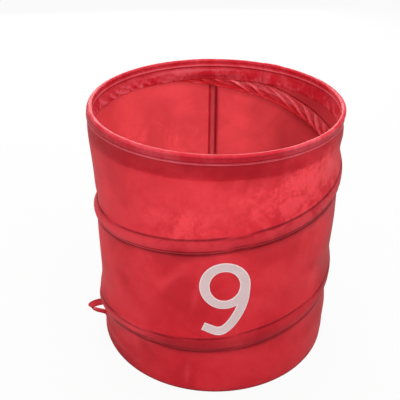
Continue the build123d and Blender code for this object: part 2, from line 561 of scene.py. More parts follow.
@dataclass(frozen=True)
class SatinCloth(Finish):
    """Thin woven polyester with a satin face.

    Attributes:
        colour, bright, deep: Plain, and paler and darker for mottling, painted light and painted shade.
        behind, lapped: The colour of the light that comes through, and the same for a lapped seam.
        thread: The pitch of the weave.
        roughness, shine: The plain roughness, and the strength of its reflections.
        glow: How much of the light behind comes through.
        weave, crinkle: The depth of the weave and of the fine crinkles.
    """

    name: str
    colour: Colour = tint(0.87, 0.178, 0.238)
    bright: Colour = tint(1.0, 0.335, 0.385)
    deep: Colour = tint(0.50, 0.045, 0.08)
    behind: Colour = tint(0.95, 0.60, 0.62)
    lapped: Colour = tint(0.94, 0.75, 0.77)
    thread: float = 0.7 * MM
    roughness: float = 0.42
    glow: float = 0.5
    weave: float = 0.05 * MM
    crinkle: float = 0.6 * MM
    shine: float = 0.12

    def shade(self, tree: ShaderTree) -> NodeSocket:
        """Builds the nodes: a woven face with painted light and shade, and the light through the cloth.

        Args:
            tree: The material's empty tree.

        Returns:
            The finished shader.
        """
        place = tree.place
        u, v, _ = tree.split(tree.out("ShaderNodeUVMap", 0, settings={"uv_map": "cloth"}))
        turns = math.tau / self.thread
        weave = tree.math("SINE", u * turns) * tree.math("SINE", v * turns)
        patches = tree.noise(place, 16.0, 3.0, 0.6)
        crinkles = tree.noise(place, 48.0, 5.0, 0.9)
        flecks = tree.noise(place, 230.0, 3.0, 0.7)
        streaks = tree.noise(tree.join(u * 0.06, v, 0.0), 900.0, 2.0)
        seam, double, crinkled, lit, thin = (
            tree.attribute(mark) for mark in (Mark.SEAM, Mark.DOUBLE, Mark.CRINKLE_SHEEN, Mark.HIGHLIGHT, Mark.THIN)
        )

        # random tone from patches and streaks, and painted sheen from crinkles and flecks where crinkled
        sheen_tone = (patches - 0.5) * 1.5 + (streaks - 0.5) * 0.35 + (crinkles - 0.42) * 6.5 * crinkled
        sheen_tone = sheen_tone + (flecks - 0.5) * (crinkled * 4.0 + 0.25)
        # painted highlight: the highlight mark lifts the colour towards bright
        face = tree.mix((sheen_tone + lit + 0.12).clamped(), self.colour, self.bright)
        # painted shade: the seam and shade marks darken the colour towards deep, with random darker patches
        shade = (seam * 0.75 + double * 0.42 + (0.5 - patches) * 0.5).clamped()
        colour = tree.mix(shade, face, self.deep)
        rough = self.roughness + (patches - 0.5) * 0.16 - (crinkles - 0.5) * 0.25 * crinkled + seam * 0.15

        woven = tree.bump(weave, self.weave, 0.5)
        normal = tree.bump(crinkles * (crinkled * 0.9 + 0.12), self.crinkle, 1.0, Normal=woven)
        front = tree.surface(colour, rough.clamped(), Normal=normal, **{"Specular IOR Level": self.shine})
        # painted shade also darkens the light that comes through
        through = tree.mix(shade, tree.mix(thin, self.behind, self.lapped), self.deep)
        behind = tree.node("ShaderNodeBsdfTranslucent", inputs={"Color": through, "Normal": normal})
        return tree.blend((thin * 0.33 + self.glow).clamped(), front, behind.outputs[0])


@dataclass(frozen=True)
class Thread(Finish):
    """Sewing thread, with its colour where its strands are lit."""

    name: str
    colour: Colour = tint(0.60, 0.08, 0.12)

    def shade(self, tree: ShaderTree) -> NodeSocket:
        """Builds the nodes: fine twisted strands.

        Args:
            tree: The material's empty tree.

        Returns:
            The finished shader.
        """
        twist = tree.noise(tree.place, 2600.0, 1.0)
        colour = tree.mix(twist, darker(self.colour, 0.7), self.colour)
        return tree.surface(colour, 0.5, Normal=tree.bump(twist, 0.05 * MM, 1.0))


@dataclass(frozen=True)
class PrintFilm(Finish):
    """The thin pressed-on film of the number.

    Attributes:
        colour, lump: The colours of its face and of its paler grains.
        roughness: How dull it is.
    """

    name: str
    colour: Colour = tint(0.88, 0.765, 0.765)
    lump: Colour = tint(0.93, 0.83, 0.83)
    roughness: float = 0.55

    def shade(self, tree: ShaderTree) -> NodeSocket:
        """Builds the nodes: a fine grain and broad pale clouds.

        Args:
            tree: The material's empty tree.

        Returns:
            The finished shader.
        """
        place = tree.place
        grain = tree.noise(place, 1400.0, 2.0)
        cloud = tree.noise(place, 60.0, 2.0)
        colour = tree.mix((cloud * 0.7 + grain * 0.3).clamped(), self.colour, self.lump)
        rough = self.roughness + (grain - 0.5) * 0.1
        return tree.surface(colour, rough, Normal=tree.bump(grain, 0.04 * MM, 0.6))


@dataclass(frozen=True)
class Steel(Finish):
    """Drawn or plated steel, of a colour and a roughness."""

    name: str
    colour: Colour = tint(0.62, 0.62, 0.64)
    roughness: float = 0.36

    def shade(self, tree: ShaderTree) -> NodeSocket:
        """Builds the nodes: fine drawing marks and duller patches.

        Args:
            tree: The material's empty tree.

        Returns:
            The finished shader.
        """
        place = tree.place
        drawn = tree.noise(place, 700.0, 3.0, 0.5)
        colour = tree.mix(tree.noise(place, 55.0, 2.0) * 0.5, self.colour, darker(self.colour, 0.55))
        rough = self.roughness + (drawn - 0.5) * 0.2
        return tree.surface(colour, rough, Metallic=1.0, Normal=tree.bump(drawn, 0.03 * MM, 0.4))


@dataclass(frozen=True)
class SoftPlastic(Finish):
    """The soft plastic of the wire's end caps."""

    name: str
    colour: Colour = tint(0.10, 0.10, 0.11)

    def shade(self, tree: ShaderTree) -> NodeSocket:
        """Builds the nodes: one colour with a fine moulded grain."""
        grain = tree.noise(tree.place, 1200.0, 2.0)
        return tree.surface(self.colour, 0.5 + (grain - 0.5) * 0.2, Normal=tree.bump(grain, 0.04 * MM, 0.5))


@dataclass(frozen=True)
class StudioWhite(Finish):
    """The ground: white to the camera, with the basket's soft shadow on it.

    Attributes:
        colour: The ground's own colour.
        shown: How much of it the camera sees as plain white.
    """

    name: str
    colour: Colour = tint(0.82, 0.82, 0.82)
    shown: float = 0.93

    def shade(self, tree: ShaderTree) -> NodeSocket:
        """Builds the nodes: a lit ground under a share of plain white.

        Args:
            tree: The material's empty tree.

        Returns:
            The finished shader.
        """
        lit = tree.surface(self.colour, 0.9)
        white = tree.node("ShaderNodeEmission", inputs={"Color": WHITE, "Strength": 1.0})
        share = tree.rays("Is Camera Ray", "Is Glossy Ray", "Is Transmission Ray") * self.shown
        return tree.blend(share, lit, white.outputs[0])


class Workshop:
    """Makes each finish once and hands it out by name."""

    def __init__(self) -> None:
        """Starts with no finishes made."""
        self._made: dict[str, Material] = {}

    def get(self, finish: Finish) -> Material:
        """The material of a finish, made when it is first asked for.

        Args:
            finish: The finish.

        Returns:
            The material.
        """
        if finish.name not in self._made:
            self._made[finish.name] = finish.make()
        return self._made[finish.name]


WALL_CLOTH = SatinCloth("wall_cloth")
TAPE_CLOTH = SatinCloth(
    "tape_cloth",
    colour=tint(1.0, 0.27, 0.32),
    bright=tint(1.0, 0.44, 0.50),
    deep=tint(0.52, 0.04, 0.08),
    roughness=0.30,
    shine=0.4,
    glow=0.06,
)
HEM_CLOTH = SatinCloth(
    "hem_cloth",
    colour=tint(0.88, 0.165, 0.23),
    bright=tint(0.98, 0.43, 0.48),
    deep=tint(0.52, 0.05, 0.09),
    roughness=0.38,
    shine=0.08,
    glow=0.15,
)
FLOOR_CLOTH = SatinCloth("floor_cloth", colour=tint(0.80, 0.15, 0.19), glow=0.3)
RIBBON = SatinCloth("ribbon", colour=tint(0.84, 0.16, 0.22), roughness=0.34, glow=0.3, thread=0.9 * MM)
WALL_THREAD = Thread("wall_thread")
# paler thread, partly painted highlight: its rows also draw the light lines along the hem's seams
RIM_THREAD = Thread("rim_thread", colour=tint(0.95, 0.42, 0.46))
FILM = PrintFilm("number_film", colour=tint(0.84, 0.735, 0.735), lump=tint(0.89, 0.79, 0.79))
FILM_EDGE = PrintFilm("number_film_edge", colour=tint(0.94, 0.87, 0.87), lump=tint(0.97, 0.91, 0.91))
SPRING_STEEL = Steel("spring_steel")
CRIMP_STEEL = Steel("crimp_steel", colour=tint(0.78, 0.78, 0.80), roughness=0.3)
CAP_PLASTIC = SoftPlastic("cap_plastic")
GROUND = StudioWhite("studio_ground")


# ---- Forms that several pieces share ----


@dataclass(frozen=True)
class Frame:
    """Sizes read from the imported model.

    Attributes:
        radius: The outside of the wall.
        floor: The top of the floor panel.
        ring_line, wire_radius: The radius at which the wires run, and half their thickness.
        rim_ring: The height of the rim's ring.
        wall_top: The wall's top edge.
        hem_bottom: The lower edge of the hem's long leg.
        rim_top, hem_cloth: The top of the rim without the lap, and the thickness of the lap's upper layer.
        spiral_top, spiral_bottom: The heights of the spiral wire's ends.
        tape_top: The top of the floor's tape.
    """

    radius: float
    floor: float
    ring_line: float
    rim_ring: float
    wall_top: float
    hem_bottom: float
    rim_top: float
    spiral_top: float
    spiral_bottom: float
    tape_top: float
    wire_radius: float = 1.1 * MM
    hem_cloth: float = 0.5 * MM

    @staticmethod
    def read() -> "Frame":
        """Reads the sizes from the CAD nodes' boxes.

        Returns:
            The sizes.
        """
        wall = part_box("wall_panel")
        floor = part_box("base_panel")
        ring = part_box("rim_ring")
        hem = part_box("rim_hem")
        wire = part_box("spiral_wire")
        wire_radius = Frame.wire_radius
        return Frame(
            radius=floor[1].x,
            floor=floor[1].z,
            ring_line=-ring[0].y - wire_radius,
            rim_ring=(ring[0].z + ring[1].z) / 2,
            wall_top=wall[1].z,
            hem_bottom=hem[0].z,
            rim_top=hem[1].z - Frame.hem_cloth,
            spiral_top=wire[1].z - wire_radius,
            spiral_bottom=wire[0].z + wire_radius,
            tape_top=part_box("base_casing")[1].z,
        )


@dataclass(frozen=True)
class Swell:
    """A smooth rise of a line about an unwrapped bearing, with a width in degrees."""

    centre: float
    width: float
    rise: float


@dataclass(frozen=True)
class SpiralPath:
    """The line that the spiral wire follows, down and clockwise from behind the hem.

    Attributes:
        top, bottom: The heights of its ends.
        turns, start: How many turns it makes, and the bearing of its upper end.
        lean, lean_bearing: How far one side of each turn rides above its mean level, and which side.
        wander: Where the sewn line strays from the even spiral.
        band, spread: Half the width of its tape, and where its seams lie further apart or closer.
    """

    top: float
    bottom: float
    turns: float = 2.16
    start: float = 138.0
    lean: float = 6.8 * MM
    lean_bearing: float = 130.0
    wander: tuple[Swell, ...] = (
        Swell(-488.0, 30.0, 5.0 * MM),
        Swell(-420.0, 26.0, 2.2 * MM),
        Swell(-138.0, 16.0, -1.6 * MM),
        Swell(-68.0, 26.0, 1.2 * MM),
        Swell(62.0, 12.0, 1.6 * MM),
    )
    band: float = 9.6 * MM
    spread: tuple[Swell, ...] = (
        Swell(-491.0, 22.0, -3.4 * MM),
        Swell(-420.0, 22.0, 2.4 * MM),
        Swell(-79.0, 7.0, -1.6 * MM),
        Swell(-142.0, 9.0, -1.2 * MM),
    )

    @property
    def end(self) -> float:
        """The unwrapped bearing of its lower end."""
        return self.start - TURN * self.turns

    def height(self, bearing: Field, maths: Maths = ARRAYS) -> Field:
        """The line's height at an unwrapped bearing.

        Args:
            bearing: Bearings in degrees, as numbers or as a node value.
            maths: How to work out cosines and powers of e.

        Returns:
            The heights.
        """
        lean_start, lean_end = (
            self.lean * math.cos(math.radians(place - self.lean_bearing)) for place in (self.start, self.end)
        )
        slope = (self.top - lean_start - self.bottom + lean_end) / (self.start - self.end)
        level = (bearing - self.start) * slope + (self.top - lean_start)
        leaning = maths.cos((bearing - self.lean_bearing) * (math.pi / 180.0)) * self.lean
        return level + leaning + self.summed(self.wander, bearing, maths)

    def half_width(self, bearing: Array) -> Array:
        """Half the distance between the tape's two seams at an unwrapped bearing."""
        return self.band + self.summed(self.spread, bearing, ARRAYS)

    @staticmethod
    def summed(swells: Sequence[Swell], bearing: Field, maths: Maths) -> Field:
        """The rises of several swells at a bearing, added up.

        Args:
            swells: The swells.
            bearing: Unwrapped bearings.
            maths: How to work out powers of e.

        Returns:
            The sum at each bearing.
        """
        total = bearing * 0.0
        for swell in swells:
            away = (bearing - swell.centre) * (1.0 / swell.width)
            total = total + maths.exp(away * away * -1.0) * swell.rise
        return total

    def crossings(self, bearing: Array) -> list[Array]:
        """The unwrapped bearings at which the line passes a bearing, from the top down."""
        first = self.start - (self.start - bearing) % TURN
        return [first - TURN * turn for turn in range(math.ceil(self.turns))]


@dataclass(frozen=True)
class Fold:
    """A soft fold or dent in the wall.

    Attributes:
        bearing, height: Where its middle is.
        slope: The angle of its line from level, in degrees.
        length, width: Half its length and half its width.
        rise: How far it stands out, or in where it is negative.
    """

    bearing: float
    height: float
    slope: float
    length: float
    width: float
    rise: float


@dataclass(frozen=True)
class Arc:
    """A part of the girth that fades out half degrees from its centre, flatter for a higher power."""

    centre: float
    half: float
    power: float = 3.0

    def at(self, bearing: Array) -> Array:
        """How much shows at a bearing, from 0 to 1."""
        return hump(bearing_gap(bearing, self.centre), self.half, self.power)


@dataclass(frozen=True)
class Patch:
    """A soft-edged patch of the wall.

    Attributes:
        arc: Where it lies round the girth.
        height, reach, strength: Its middle's height, how far it goes from there, and how strongly it shows.
    """

    arc: Arc
    height: float
    reach: float
    strength: float = 1.0

    def at(self, bearing: Array, height: Array) -> Array:
        """How much shows at a bearing and height."""
        return self.strength * self.arc.at(bearing) * hump(height - self.height, self.reach, self.arc.power)


@dataclass(frozen=True)
class Shade:
    """A part of the wall with painted shade, from a height up or down.

    Attributes:
        arc, strength: Where it lies round the girth, and how dark it is.
        start, full: The heights at which it starts to show and shows in full.
    """

    arc: Arc
    strength: float
    start: float = -2.0 * MM
    full: float = -1.0 * MM

    def at(self, bearing: Array, height: Array) -> Array:
        """How dark it is at a bearing and height."""
        return self.strength * self.arc.at(bearing) * ramp(self.start, self.full, height)


@dataclass(frozen=True)
class SoftLine:
    """A soft groove, shadow or glint along a seam.

    Attributes:
        strength, width: How deep, dark or bright it is, and half its width.
        above: How far above the seam it lies.
    """

    strength: float
    width: float
    above: float = 0.0

    def at(self, away: Array) -> Array:
        """Its strength at a distance above the seam."""
        return self.strength * hump(away - self.above, self.width)


@dataclass(frozen=True)
class Grain:
    """Noise over the wall.

    Attributes:
        rise: How far it stands out.
        pitch, lumps, seed: The height of one lump, how many there are in a turn, and which noise.
    """

    rise: float
    pitch: float
    lumps: float
    seed: float

    def at(self, bearing: Array, height: Array) -> Array:
        """The noise at a bearing and height."""
        return self.rise * ring_noise(bearing, height / self.pitch, self.lumps, self.seed)


@dataclass(frozen=True)
class Puckers:
    """Fine slanting ripples along a seam, of uneven strength.

    Attributes:
        rise: How far they stand out.
        along, across: Metres of girth and of height to a radian of ripple.
        stray, strays: How far they stray in radians, and how often in a turn.
        strength, changes: Their mean strength, and how often it changes in a turn.
        seed: Which noise.
    """

    rise: float
    along: float
    across: float
    stray: float
    strays: float
    strength: float
    changes: float
    seed: float

    def at(self, bearing: Array, u: Array, height: Array) -> Array:
        """The ripples at places beside a seam.

        Args:
            bearing: The places' bearings.
            u: The same in metres round the girth.
            height: Their heights, above the seam or above the ground.

        Returns:
            How far the ripples stand out.
        """
        stray = self.stray * ring_noise(bearing, 0.0, self.strays, self.seed)
        uneven = self.strength + ring_noise(bearing, 0.0, self.changes, self.seed + 1.0)
        return self.rise * np.sin(u / self.along + height / self.across + stray) * uneven


@dataclass(frozen=True)
class WallShape:
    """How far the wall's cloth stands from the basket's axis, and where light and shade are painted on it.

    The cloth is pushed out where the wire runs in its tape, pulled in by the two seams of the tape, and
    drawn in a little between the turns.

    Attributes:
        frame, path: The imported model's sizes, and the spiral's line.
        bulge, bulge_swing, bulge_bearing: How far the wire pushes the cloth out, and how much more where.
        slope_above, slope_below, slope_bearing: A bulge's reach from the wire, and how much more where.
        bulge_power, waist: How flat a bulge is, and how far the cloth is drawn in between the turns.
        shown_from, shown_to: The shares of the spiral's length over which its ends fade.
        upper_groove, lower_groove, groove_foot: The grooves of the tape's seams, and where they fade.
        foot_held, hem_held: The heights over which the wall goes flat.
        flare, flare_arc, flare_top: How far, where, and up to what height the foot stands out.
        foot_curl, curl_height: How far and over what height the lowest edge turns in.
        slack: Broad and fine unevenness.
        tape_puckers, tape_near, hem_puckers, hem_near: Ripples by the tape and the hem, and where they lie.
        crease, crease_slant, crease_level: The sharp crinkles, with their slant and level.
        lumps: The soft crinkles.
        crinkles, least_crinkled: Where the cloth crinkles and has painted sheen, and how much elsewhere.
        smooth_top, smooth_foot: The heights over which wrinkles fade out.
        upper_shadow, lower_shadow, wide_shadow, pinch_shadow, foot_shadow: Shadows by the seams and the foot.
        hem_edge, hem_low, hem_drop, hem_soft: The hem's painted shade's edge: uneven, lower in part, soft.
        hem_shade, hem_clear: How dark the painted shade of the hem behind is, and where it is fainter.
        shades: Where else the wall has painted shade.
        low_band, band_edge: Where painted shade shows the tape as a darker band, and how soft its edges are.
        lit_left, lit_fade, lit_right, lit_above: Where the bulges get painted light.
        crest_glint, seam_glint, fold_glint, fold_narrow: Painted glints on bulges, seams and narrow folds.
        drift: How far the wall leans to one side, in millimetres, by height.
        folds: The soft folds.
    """

    frame: Frame
    path: SpiralPath
    bulge: float = 3.5 * MM
    bulge_swing: float = 0.5 * MM
    bulge_bearing: float = -15.0
    waist: float = 0.9 * MM
    slope_above: Pair = (11.8 * MM, 5.0 * MM)
    slope_below: Pair = (12.3 * MM, 3.0 * MM)
    slope_bearing: float = -13.0
    bulge_power: float = 2.4
    shown_from: Pair = (0.0, 0.02)
    shown_to: Pair = (0.975, 0.984)
    upper_groove: SoftLine = SoftLine(0.55 * MM, 1.1 * MM)
    lower_groove: SoftLine = SoftLine(1.3 * MM, 1.7 * MM)
    groove_foot: Pair = (7.0 * MM, 13.0 * MM)
    foot_held: float = 5.0 * MM
    hem_held: Pair = (0.3105, 0.298)
    flare: float = 2.2 * MM
    flare_arc: Arc = Arc(-80.0, 75.0)
    flare_top: float = 0.06
    foot_curl: float = 0.5 * MM
    curl_height: float = 1.5 * MM
    slack: tuple[Grain, ...] = (Grain(0.35 * MM, 0.045, 22, 3.0), Grain(0.12 * MM, 0.014, 70, 9.0))
    tape_puckers: Puckers = Puckers(0.16 * MM, 1.55 * MM, 2.6 * MM, 2.2, 60, 0.6, 18, 5.0)
    tape_near: tuple[SoftLine, ...] = (SoftLine(1.0, 5.0 * MM, 13.0 * MM), SoftLine(1.0, 5.0 * MM, -14 * MM))
    hem_puckers: Puckers = Puckers(0.18 * MM, 2.4 * MM, 3.0 * MM, 2.5, 40, 0.5, 14, 7.0)
    hem_near: SoftLine = SoftLine(1.0, 9.0 * MM, 6.0 * MM)
    crease: Grain = Grain(0.9 * MM, 0.011, 90, 11.0)
    crease_slant: float = 0.044
    crease_level: float = 0.35
    lumps: Grain = Grain(0.6 * MM, 0.022, 44, 13.0)
    crinkles: tuple[Patch, ...] = (
        Patch(Arc(-38.0, 34.0), 0.262, 0.034),
        Patch(Arc(-104.0, 16.0, 2.0), 0.238, 0.02, 0.5),
        Patch(Arc(140.0, 40.0), 0.2, 0.04, 0.35),
    )
    least_crinkled: float = 0.08
    smooth_top: Pair = (0.317, 0.309)
    smooth_foot: Pair = (4.0 * MM, 14.0 * MM)
    upper_shadow: SoftLine = SoftLine(0.9, 0.9 * MM)
    lower_shadow: SoftLine = SoftLine(1.0, 1.0 * MM)
    wide_shadow: SoftLine = SoftLine(0.4, 2.6 * MM, -2.0 * MM)
    pinch_shadow: SoftLine = SoftLine(0.75, 0.8 * MM, 4.4 * MM)
    foot_shadow: Pair = (2.4 * MM, 1.0 * MM)
    hem_edge: Grain = Grain(0.9 * MM, 1.0, 16, 21.0)
    hem_low: Arc = Arc(34.0, 34.0)
    hem_drop: float = 14.0 * MM
    hem_soft: float = 2.2 * MM
    hem_shade: float = 0.28
    hem_clear: Shade = Shade(Arc(-28.0, 42.0), 0.23)
    shades: tuple[Shade, ...] = (
        Shade(Arc(38.0, 34.0), 0.5, 0.14, 0.2),
        Shade(Arc(-146.0, 30.0), 0.4, 0.085, 0.065),
        Shade(Arc(-18.0, 18.0, 2.0), 0.42),
    )
    low_band: Shade = Shade(Arc(-92.0, 42.0), 0.55, 0.10, 0.08)
    band_edge: float = 3.0 * MM
    lit_left: float = -165.0
    lit_fade: Pair = (60.0, 30.0)
    lit_right: Arc = Arc(-40.0, 32.0)
    lit_above: Pair = (0.10, 0.14)
    crest_glint: SoftLine = SoftLine(1.0, 6.0 * MM, 2.0 * MM)
    seam_glint: SoftLine = SoftLine(0.45, 0.9 * MM, 2.2 * MM)
    fold_glint: float = 0.6
    fold_narrow: float = 9.0 * MM
    drift: Steps = (
        (0.0, 0.2), (0.004, 0.6), (0.010, 1.6), (0.035, 2.2), (0.075, 1.2), (0.11, 0.9),
        (0.16, 0.8), (0.205, 2.0), (0.235, 1.4), (0.262, 0.2), (0.290, -1.1), (0.320, -1.6),
    )
    folds: tuple[Fold, ...] = (
        Fold(-104, 0.232, 68, 0.022, 0.006, 0.5 * MM),
        Fold(-108, 0.166, 50, 0.030, 0.008, 0.5 * MM),
        Fold(-97, 0.150, 80, 0.030, 0.005, 0.45 * MM),
        Fold(-133, 0.140, 35, 0.040, 0.012, -0.6 * MM),
        Fold(-60, 0.205, 22, 0.030, 0.008, -0.4 * MM),
        Fold(-38, 0.150, 60, 0.035, 0.010, 0.5 * MM),
        Fold(-101, 0.032, 84, 0.020, 0.006, 0.4 * MM),
        Fold(-13, 0.250, 4, 0.050, 0.014, 1.4 * MM),
        Fold(-166, 0.064, 4, 0.050, 0.014, 3.8 * MM),
        Fold(-170, 0.285, 0, 0.100, 0.035, 0.9 * MM),
        Fold(-170, 0.022, 0, 0.100, 0.006, 2.2 * MM),
        Fold(-170, 0.170, 0, 0.100, 0.130, 1.5 * MM),
        Fold(-170, 0.070, 0, 0.100, 0.022, 1.2 * MM),
        Fold(180, 0.204, 6, 0.080, 0.009, -2.6 * MM),
        Fold(-170, 0.014, 0, 0.100, 0.007, -1.2 * MM),
        Fold(-8, 0.297, 0, 0.100, 0.013, 1.9 * MM),
        Fold(-8, 0.252, 0, 0.100, 0.024, -2.3 * MM),
        Fold(-8, 0.172, 0, 0.100, 0.036, 1.6 * MM),
        Fold(-8, 0.098, 0, 0.100, 0.024, -0.7 * MM),
        Fold(-8, 0.050, 0, 0.100, 0.014, 1.5 * MM),
        Fold(30, 0.170, 55, 0.040, 0.012, 0.8 * MM),
        Fold(75, 0.120, 65, 0.040, 0.012, -0.7 * MM),
        Fold(130, 0.200, 60, 0.040, 0.012, 0.8 * MM),
        Fold(165, 0.110, 70, 0.030, 0.010, -0.6 * MM),
    )

    def swell(self, bearing: Array) -> Array:
        """How far the wire pushes the cloth out at a bearing."""
        return self.bulge + self.bulge_swing * facing(bearing, self.bulge_bearing)

    def offsets(self, bearing: Array, height: Array) -> list[tuple[Array, ...]]:
        """Where points lie beside each turn of the spiral.

        Args:
            bearing: The points' bearings.
            height: Their heights.

        Returns:
            For each turn, how far each point lies above its line, half the tape's width there, and how
            strongly the turn shows.
        """
        found = []
        for crossing in self.path.crossings(bearing):
            travel = (self.path.start - crossing) / (TURN * self.path.turns)
            shown = ramp(*self.shown_from, travel) * (1.0 - ramp(*self.shown_to, travel))
            found.append((height - self.path.height(crossing), self.path.half_width(crossing), shown))
        return found

    def radius(self, bearing: Array, height: Array) -> Array:
        """The outside of the cloth at a bearing and height, without its finest wrinkles.

        Args:
            bearing: The points' bearings.
            height: Their heights.

        Returns:
            Their distances from the axis.
        """
        bearing, height = np.broadcast_arrays(np.asarray(bearing, float), np.asarray(height, float))
        pushed = np.zeros(bearing.shape)
        grooves = np.zeros(bearing.shape)
        side = facing(bearing, self.slope_bearing)
        slopes = [reach + more * side for reach, more in (self.slope_above, self.slope_below)]
        for above, half, shown in self.offsets(bearing, height):
            pushed = np.maximum(pushed, shown * hump(above, np.where(above > 0, *slopes), self.bulge_power))
            grooves += shown * (self.upper_groove.at(above - half) + self.lower_groove.at(above + half))
        grooves = grooves * ramp(*self.groove_foot, height)
        free = np.sin(np.pi * np.clip(height / self.frame.wall_top, 0, 1)) ** 0.6
        out = pushed * self.swell(bearing) - (1.0 - pushed) * self.waist * free - grooves
        for fold in self.folds:
            out = out + fold.rise * self.fold_at(fold, bearing, height)
        out = out * ramp(0.0, self.foot_held, height) * ramp(*self.hem_held, height)
        heights, amounts = zip(*self.drift)
        aside = np.interp(height, heights, amounts) * MM * facing(bearing)
        flare = self.flare * self.flare_arc.at(bearing) * ramp(self.flare_top, 0.0, height)
        curl = self.foot_curl * (1.0 - ramp(0.0, self.curl_height, height - self.frame.floor))
        return self.frame.radius + out + aside + flare - curl

    def fold_at(self, fold: Fold, bearing: Array, height: Array, width: float = 1.0) -> Array:
        """How far into a fold points lie, from 0 to 1, with a share of its width.

        Args:
            fold: The fold.
            bearing: The points' bearings.
            height: Their heights.
            width: The share of the fold's width to use.

        Returns:
            How far in each lies, from 0 to 1.
        """
        x = np.radians(bearing_gap(bearing, fold.bearing)) * self.frame.radius
        y = height - fold.height
        c, s = math.cos(math.radians(fold.slope)), math.sin(math.radians(fold.slope))
        return hump(x * c + y * s, fold.length) * hump(y * c - x * s, width * fold.width)

    def wrinkles(self, bearing: Array, height: Array) -> Array:
        """The finest wrinkles: puckers beside the seams, crinkles at the front right, and slack.

        Args:
            bearing: The points' bearings.
            height: Their heights.

        Returns:
            How far the cloth stands out there.
        """
        u = np.radians(bearing) * self.frame.radius
        out = sum(grain.at(bearing, height) for grain in self.slack)
        for above, _, shown in self.offsets(bearing, height):
            near = sum(line.at(above) for line in self.tape_near)
            out = out + shown * near * self.tape_puckers.at(bearing, u, above)
        near = self.hem_near.at(height - self.frame.hem_bottom)
        out = out + near * self.hem_puckers.at(bearing, u, height)
        slanted = height + self.crease_slant * np.radians(bearing)
        creases = self.crease.rise * self.crease_level - np.abs(self.crease.at(bearing, slanted))
        out = out + self.crinkled(bearing, height) * (creases + self.lumps.at(bearing, height))
        return out * ramp(*self.smooth_top, height) * ramp(*self.smooth_foot, height)

    def crinkled(self, bearing: Array, height: Array) -> Array:
        """Where the cloth is crinkled and gets painted sheen: most at the front right of the upper panel."""
        crinkled = sum(patch.at(bearing, height) for patch in self.crinkles)
        return np.clip(crinkled + self.least_crinkled, 0.0, 1.0)

    def seams(self, bearing: Array, height: Array) -> Array:
        """How much painted shade a point of the wall gets by the tape's seams and at the foot, from 0 to 1.

        Args:
            bearing: The points' bearings.
            height: Their heights.

        Returns:
            The painted shade, from 0 to 1.
        """
        found = 0.95 * ramp(*self.foot_shadow, height - self.frame.floor)
        for above, half, shown in self.offsets(bearing, height):
            upper, lower = above - half, above + half
            for shadow in (
                self.upper_shadow.at(upper),
                self.lower_shadow.at(lower) + self.wide_shadow.at(lower),
                self.pinch_shadow.at(lower),
            ):
                found = np.maximum(found, shown * shadow)
        return np.clip(found, 0, 1)

    def painted_shade_at(self, bearing: Array, height: Array) -> Array:
        """Painted shade on the wall, from 0 to 1: over the hem's inner leg, over the tape and elsewhere.

        Args:
            bearing: The points' bearings.
            height: Their heights.

        Returns:
            The painted shade, from 0 to 1.
        """
        edge = self.frame.hem_bottom + self.hem_edge.at(bearing, 0.0)
        edge = edge - self.hem_drop * self.hem_low.at(bearing)
        hem = ramp(-self.hem_soft, self.hem_soft, height - edge)
        hem = hem * (self.hem_shade - self.hem_clear.at(bearing, height))
        found = np.maximum(hem, sum(shade.at(bearing, height) for shade in self.shades))
        low = self.low_band.at(bearing, height)
        for above, half, shown in self.offsets(bearing, height):
            found = np.maximum(found, shown * low * ramp(half, half - self.band_edge, np.abs(above)))
        return np.clip(found, 0, 1)

    def lit(self, bearing: Array, height: Array) -> Array:
        """Painted light on the cloth's face: along the upper side of each bulge, most at the left.

        Args:
            bearing: The points' bearings.
            height: Their heights.

        Returns:
            The painted light, from 0 up.
        """
        found = np.zeros(np.broadcast(bearing, height).shape)
        left = ramp(*self.lit_fade, np.abs(bearing_gap(bearing, self.lit_left)))
        elsewhere = ramp(*self.lit_above, height) * (0.4 + 0.4 * self.lit_right.at(bearing))
        strength = left + elsewhere * (1.0 - left)
        for above, half, shown in self.offsets(bearing, height):
            found = np.maximum(found, shown * strength * self.crest_glint.at(above))
            found = np.maximum(found, shown * self.seam_glint.at(above + half))
        for fold in self.folds:
            if fold.slope and fold.width < self.fold_narrow and fold.rise > 0:
                found = np.maximum(found, self.fold_glint * self.fold_at(fold, bearing, height, 0.7))
        return found


# ---- Sub-assemblies ----


@dataclass
class Piece:
    """What every dressed piece shares.

    Attributes:
        shape: The wall's shape.
        workshop: Where its finishes come from.
        body: The CAD body that it moves with.
        kept: The share of its height that a piece keeps when the rim is down.
    """

    shape: WallShape
    workshop: Workshop
    body: ClassVar[str] = "base"
    kept: ClassVar[float] = 1.0 - 0.285 / 0.311

    @property
    def frame(self) -> Frame:
        """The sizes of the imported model."""
        return self.shape.frame

    def sew(
        self, name: str, points: Array, uv: Array, marks: Marks, finish: Finish, thickness: float
    ) -> Object:
        """Makes a thin closed piece of cloth.

        Args:
            name: The piece's name.
            points: The points of its face, as rows by columns by three.
            uv: Where each lies on the flat cloth, in metres.
            marks: Numbers to store on the points, by name.
            finish: Its finish.
            thickness: How thick it is, inwards from its face.

        Returns:
            The piece.
        """
        piece = link(name, grid_mesh(name, points, uv, marks))
        thicken(piece, thickness, self.workshop.get(finish))
        return piece

    def settle(
        self, piece: Object, body: str, slot: str, stands_for: Sequence[str] = (), collapses: bool = False
    ) -> Object:
        """Puts a finished piece into the frame.

        Args:
            piece: The finished piece.
            body: The CAD body that it moves with.
            slot: Not used.
            stands_for: The CAD nodes that it replaces.
            collapses: Whether it gets its own copy of its mesh.

        Returns:
            The piece.
        """
        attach(piece, body)
        if stands_for:
            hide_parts(*stands_for)
        if collapses:
            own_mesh(piece)
        LOG.info("%s: %d faces on %s", piece.name, len(piece.data.polygons), body)
        return piece


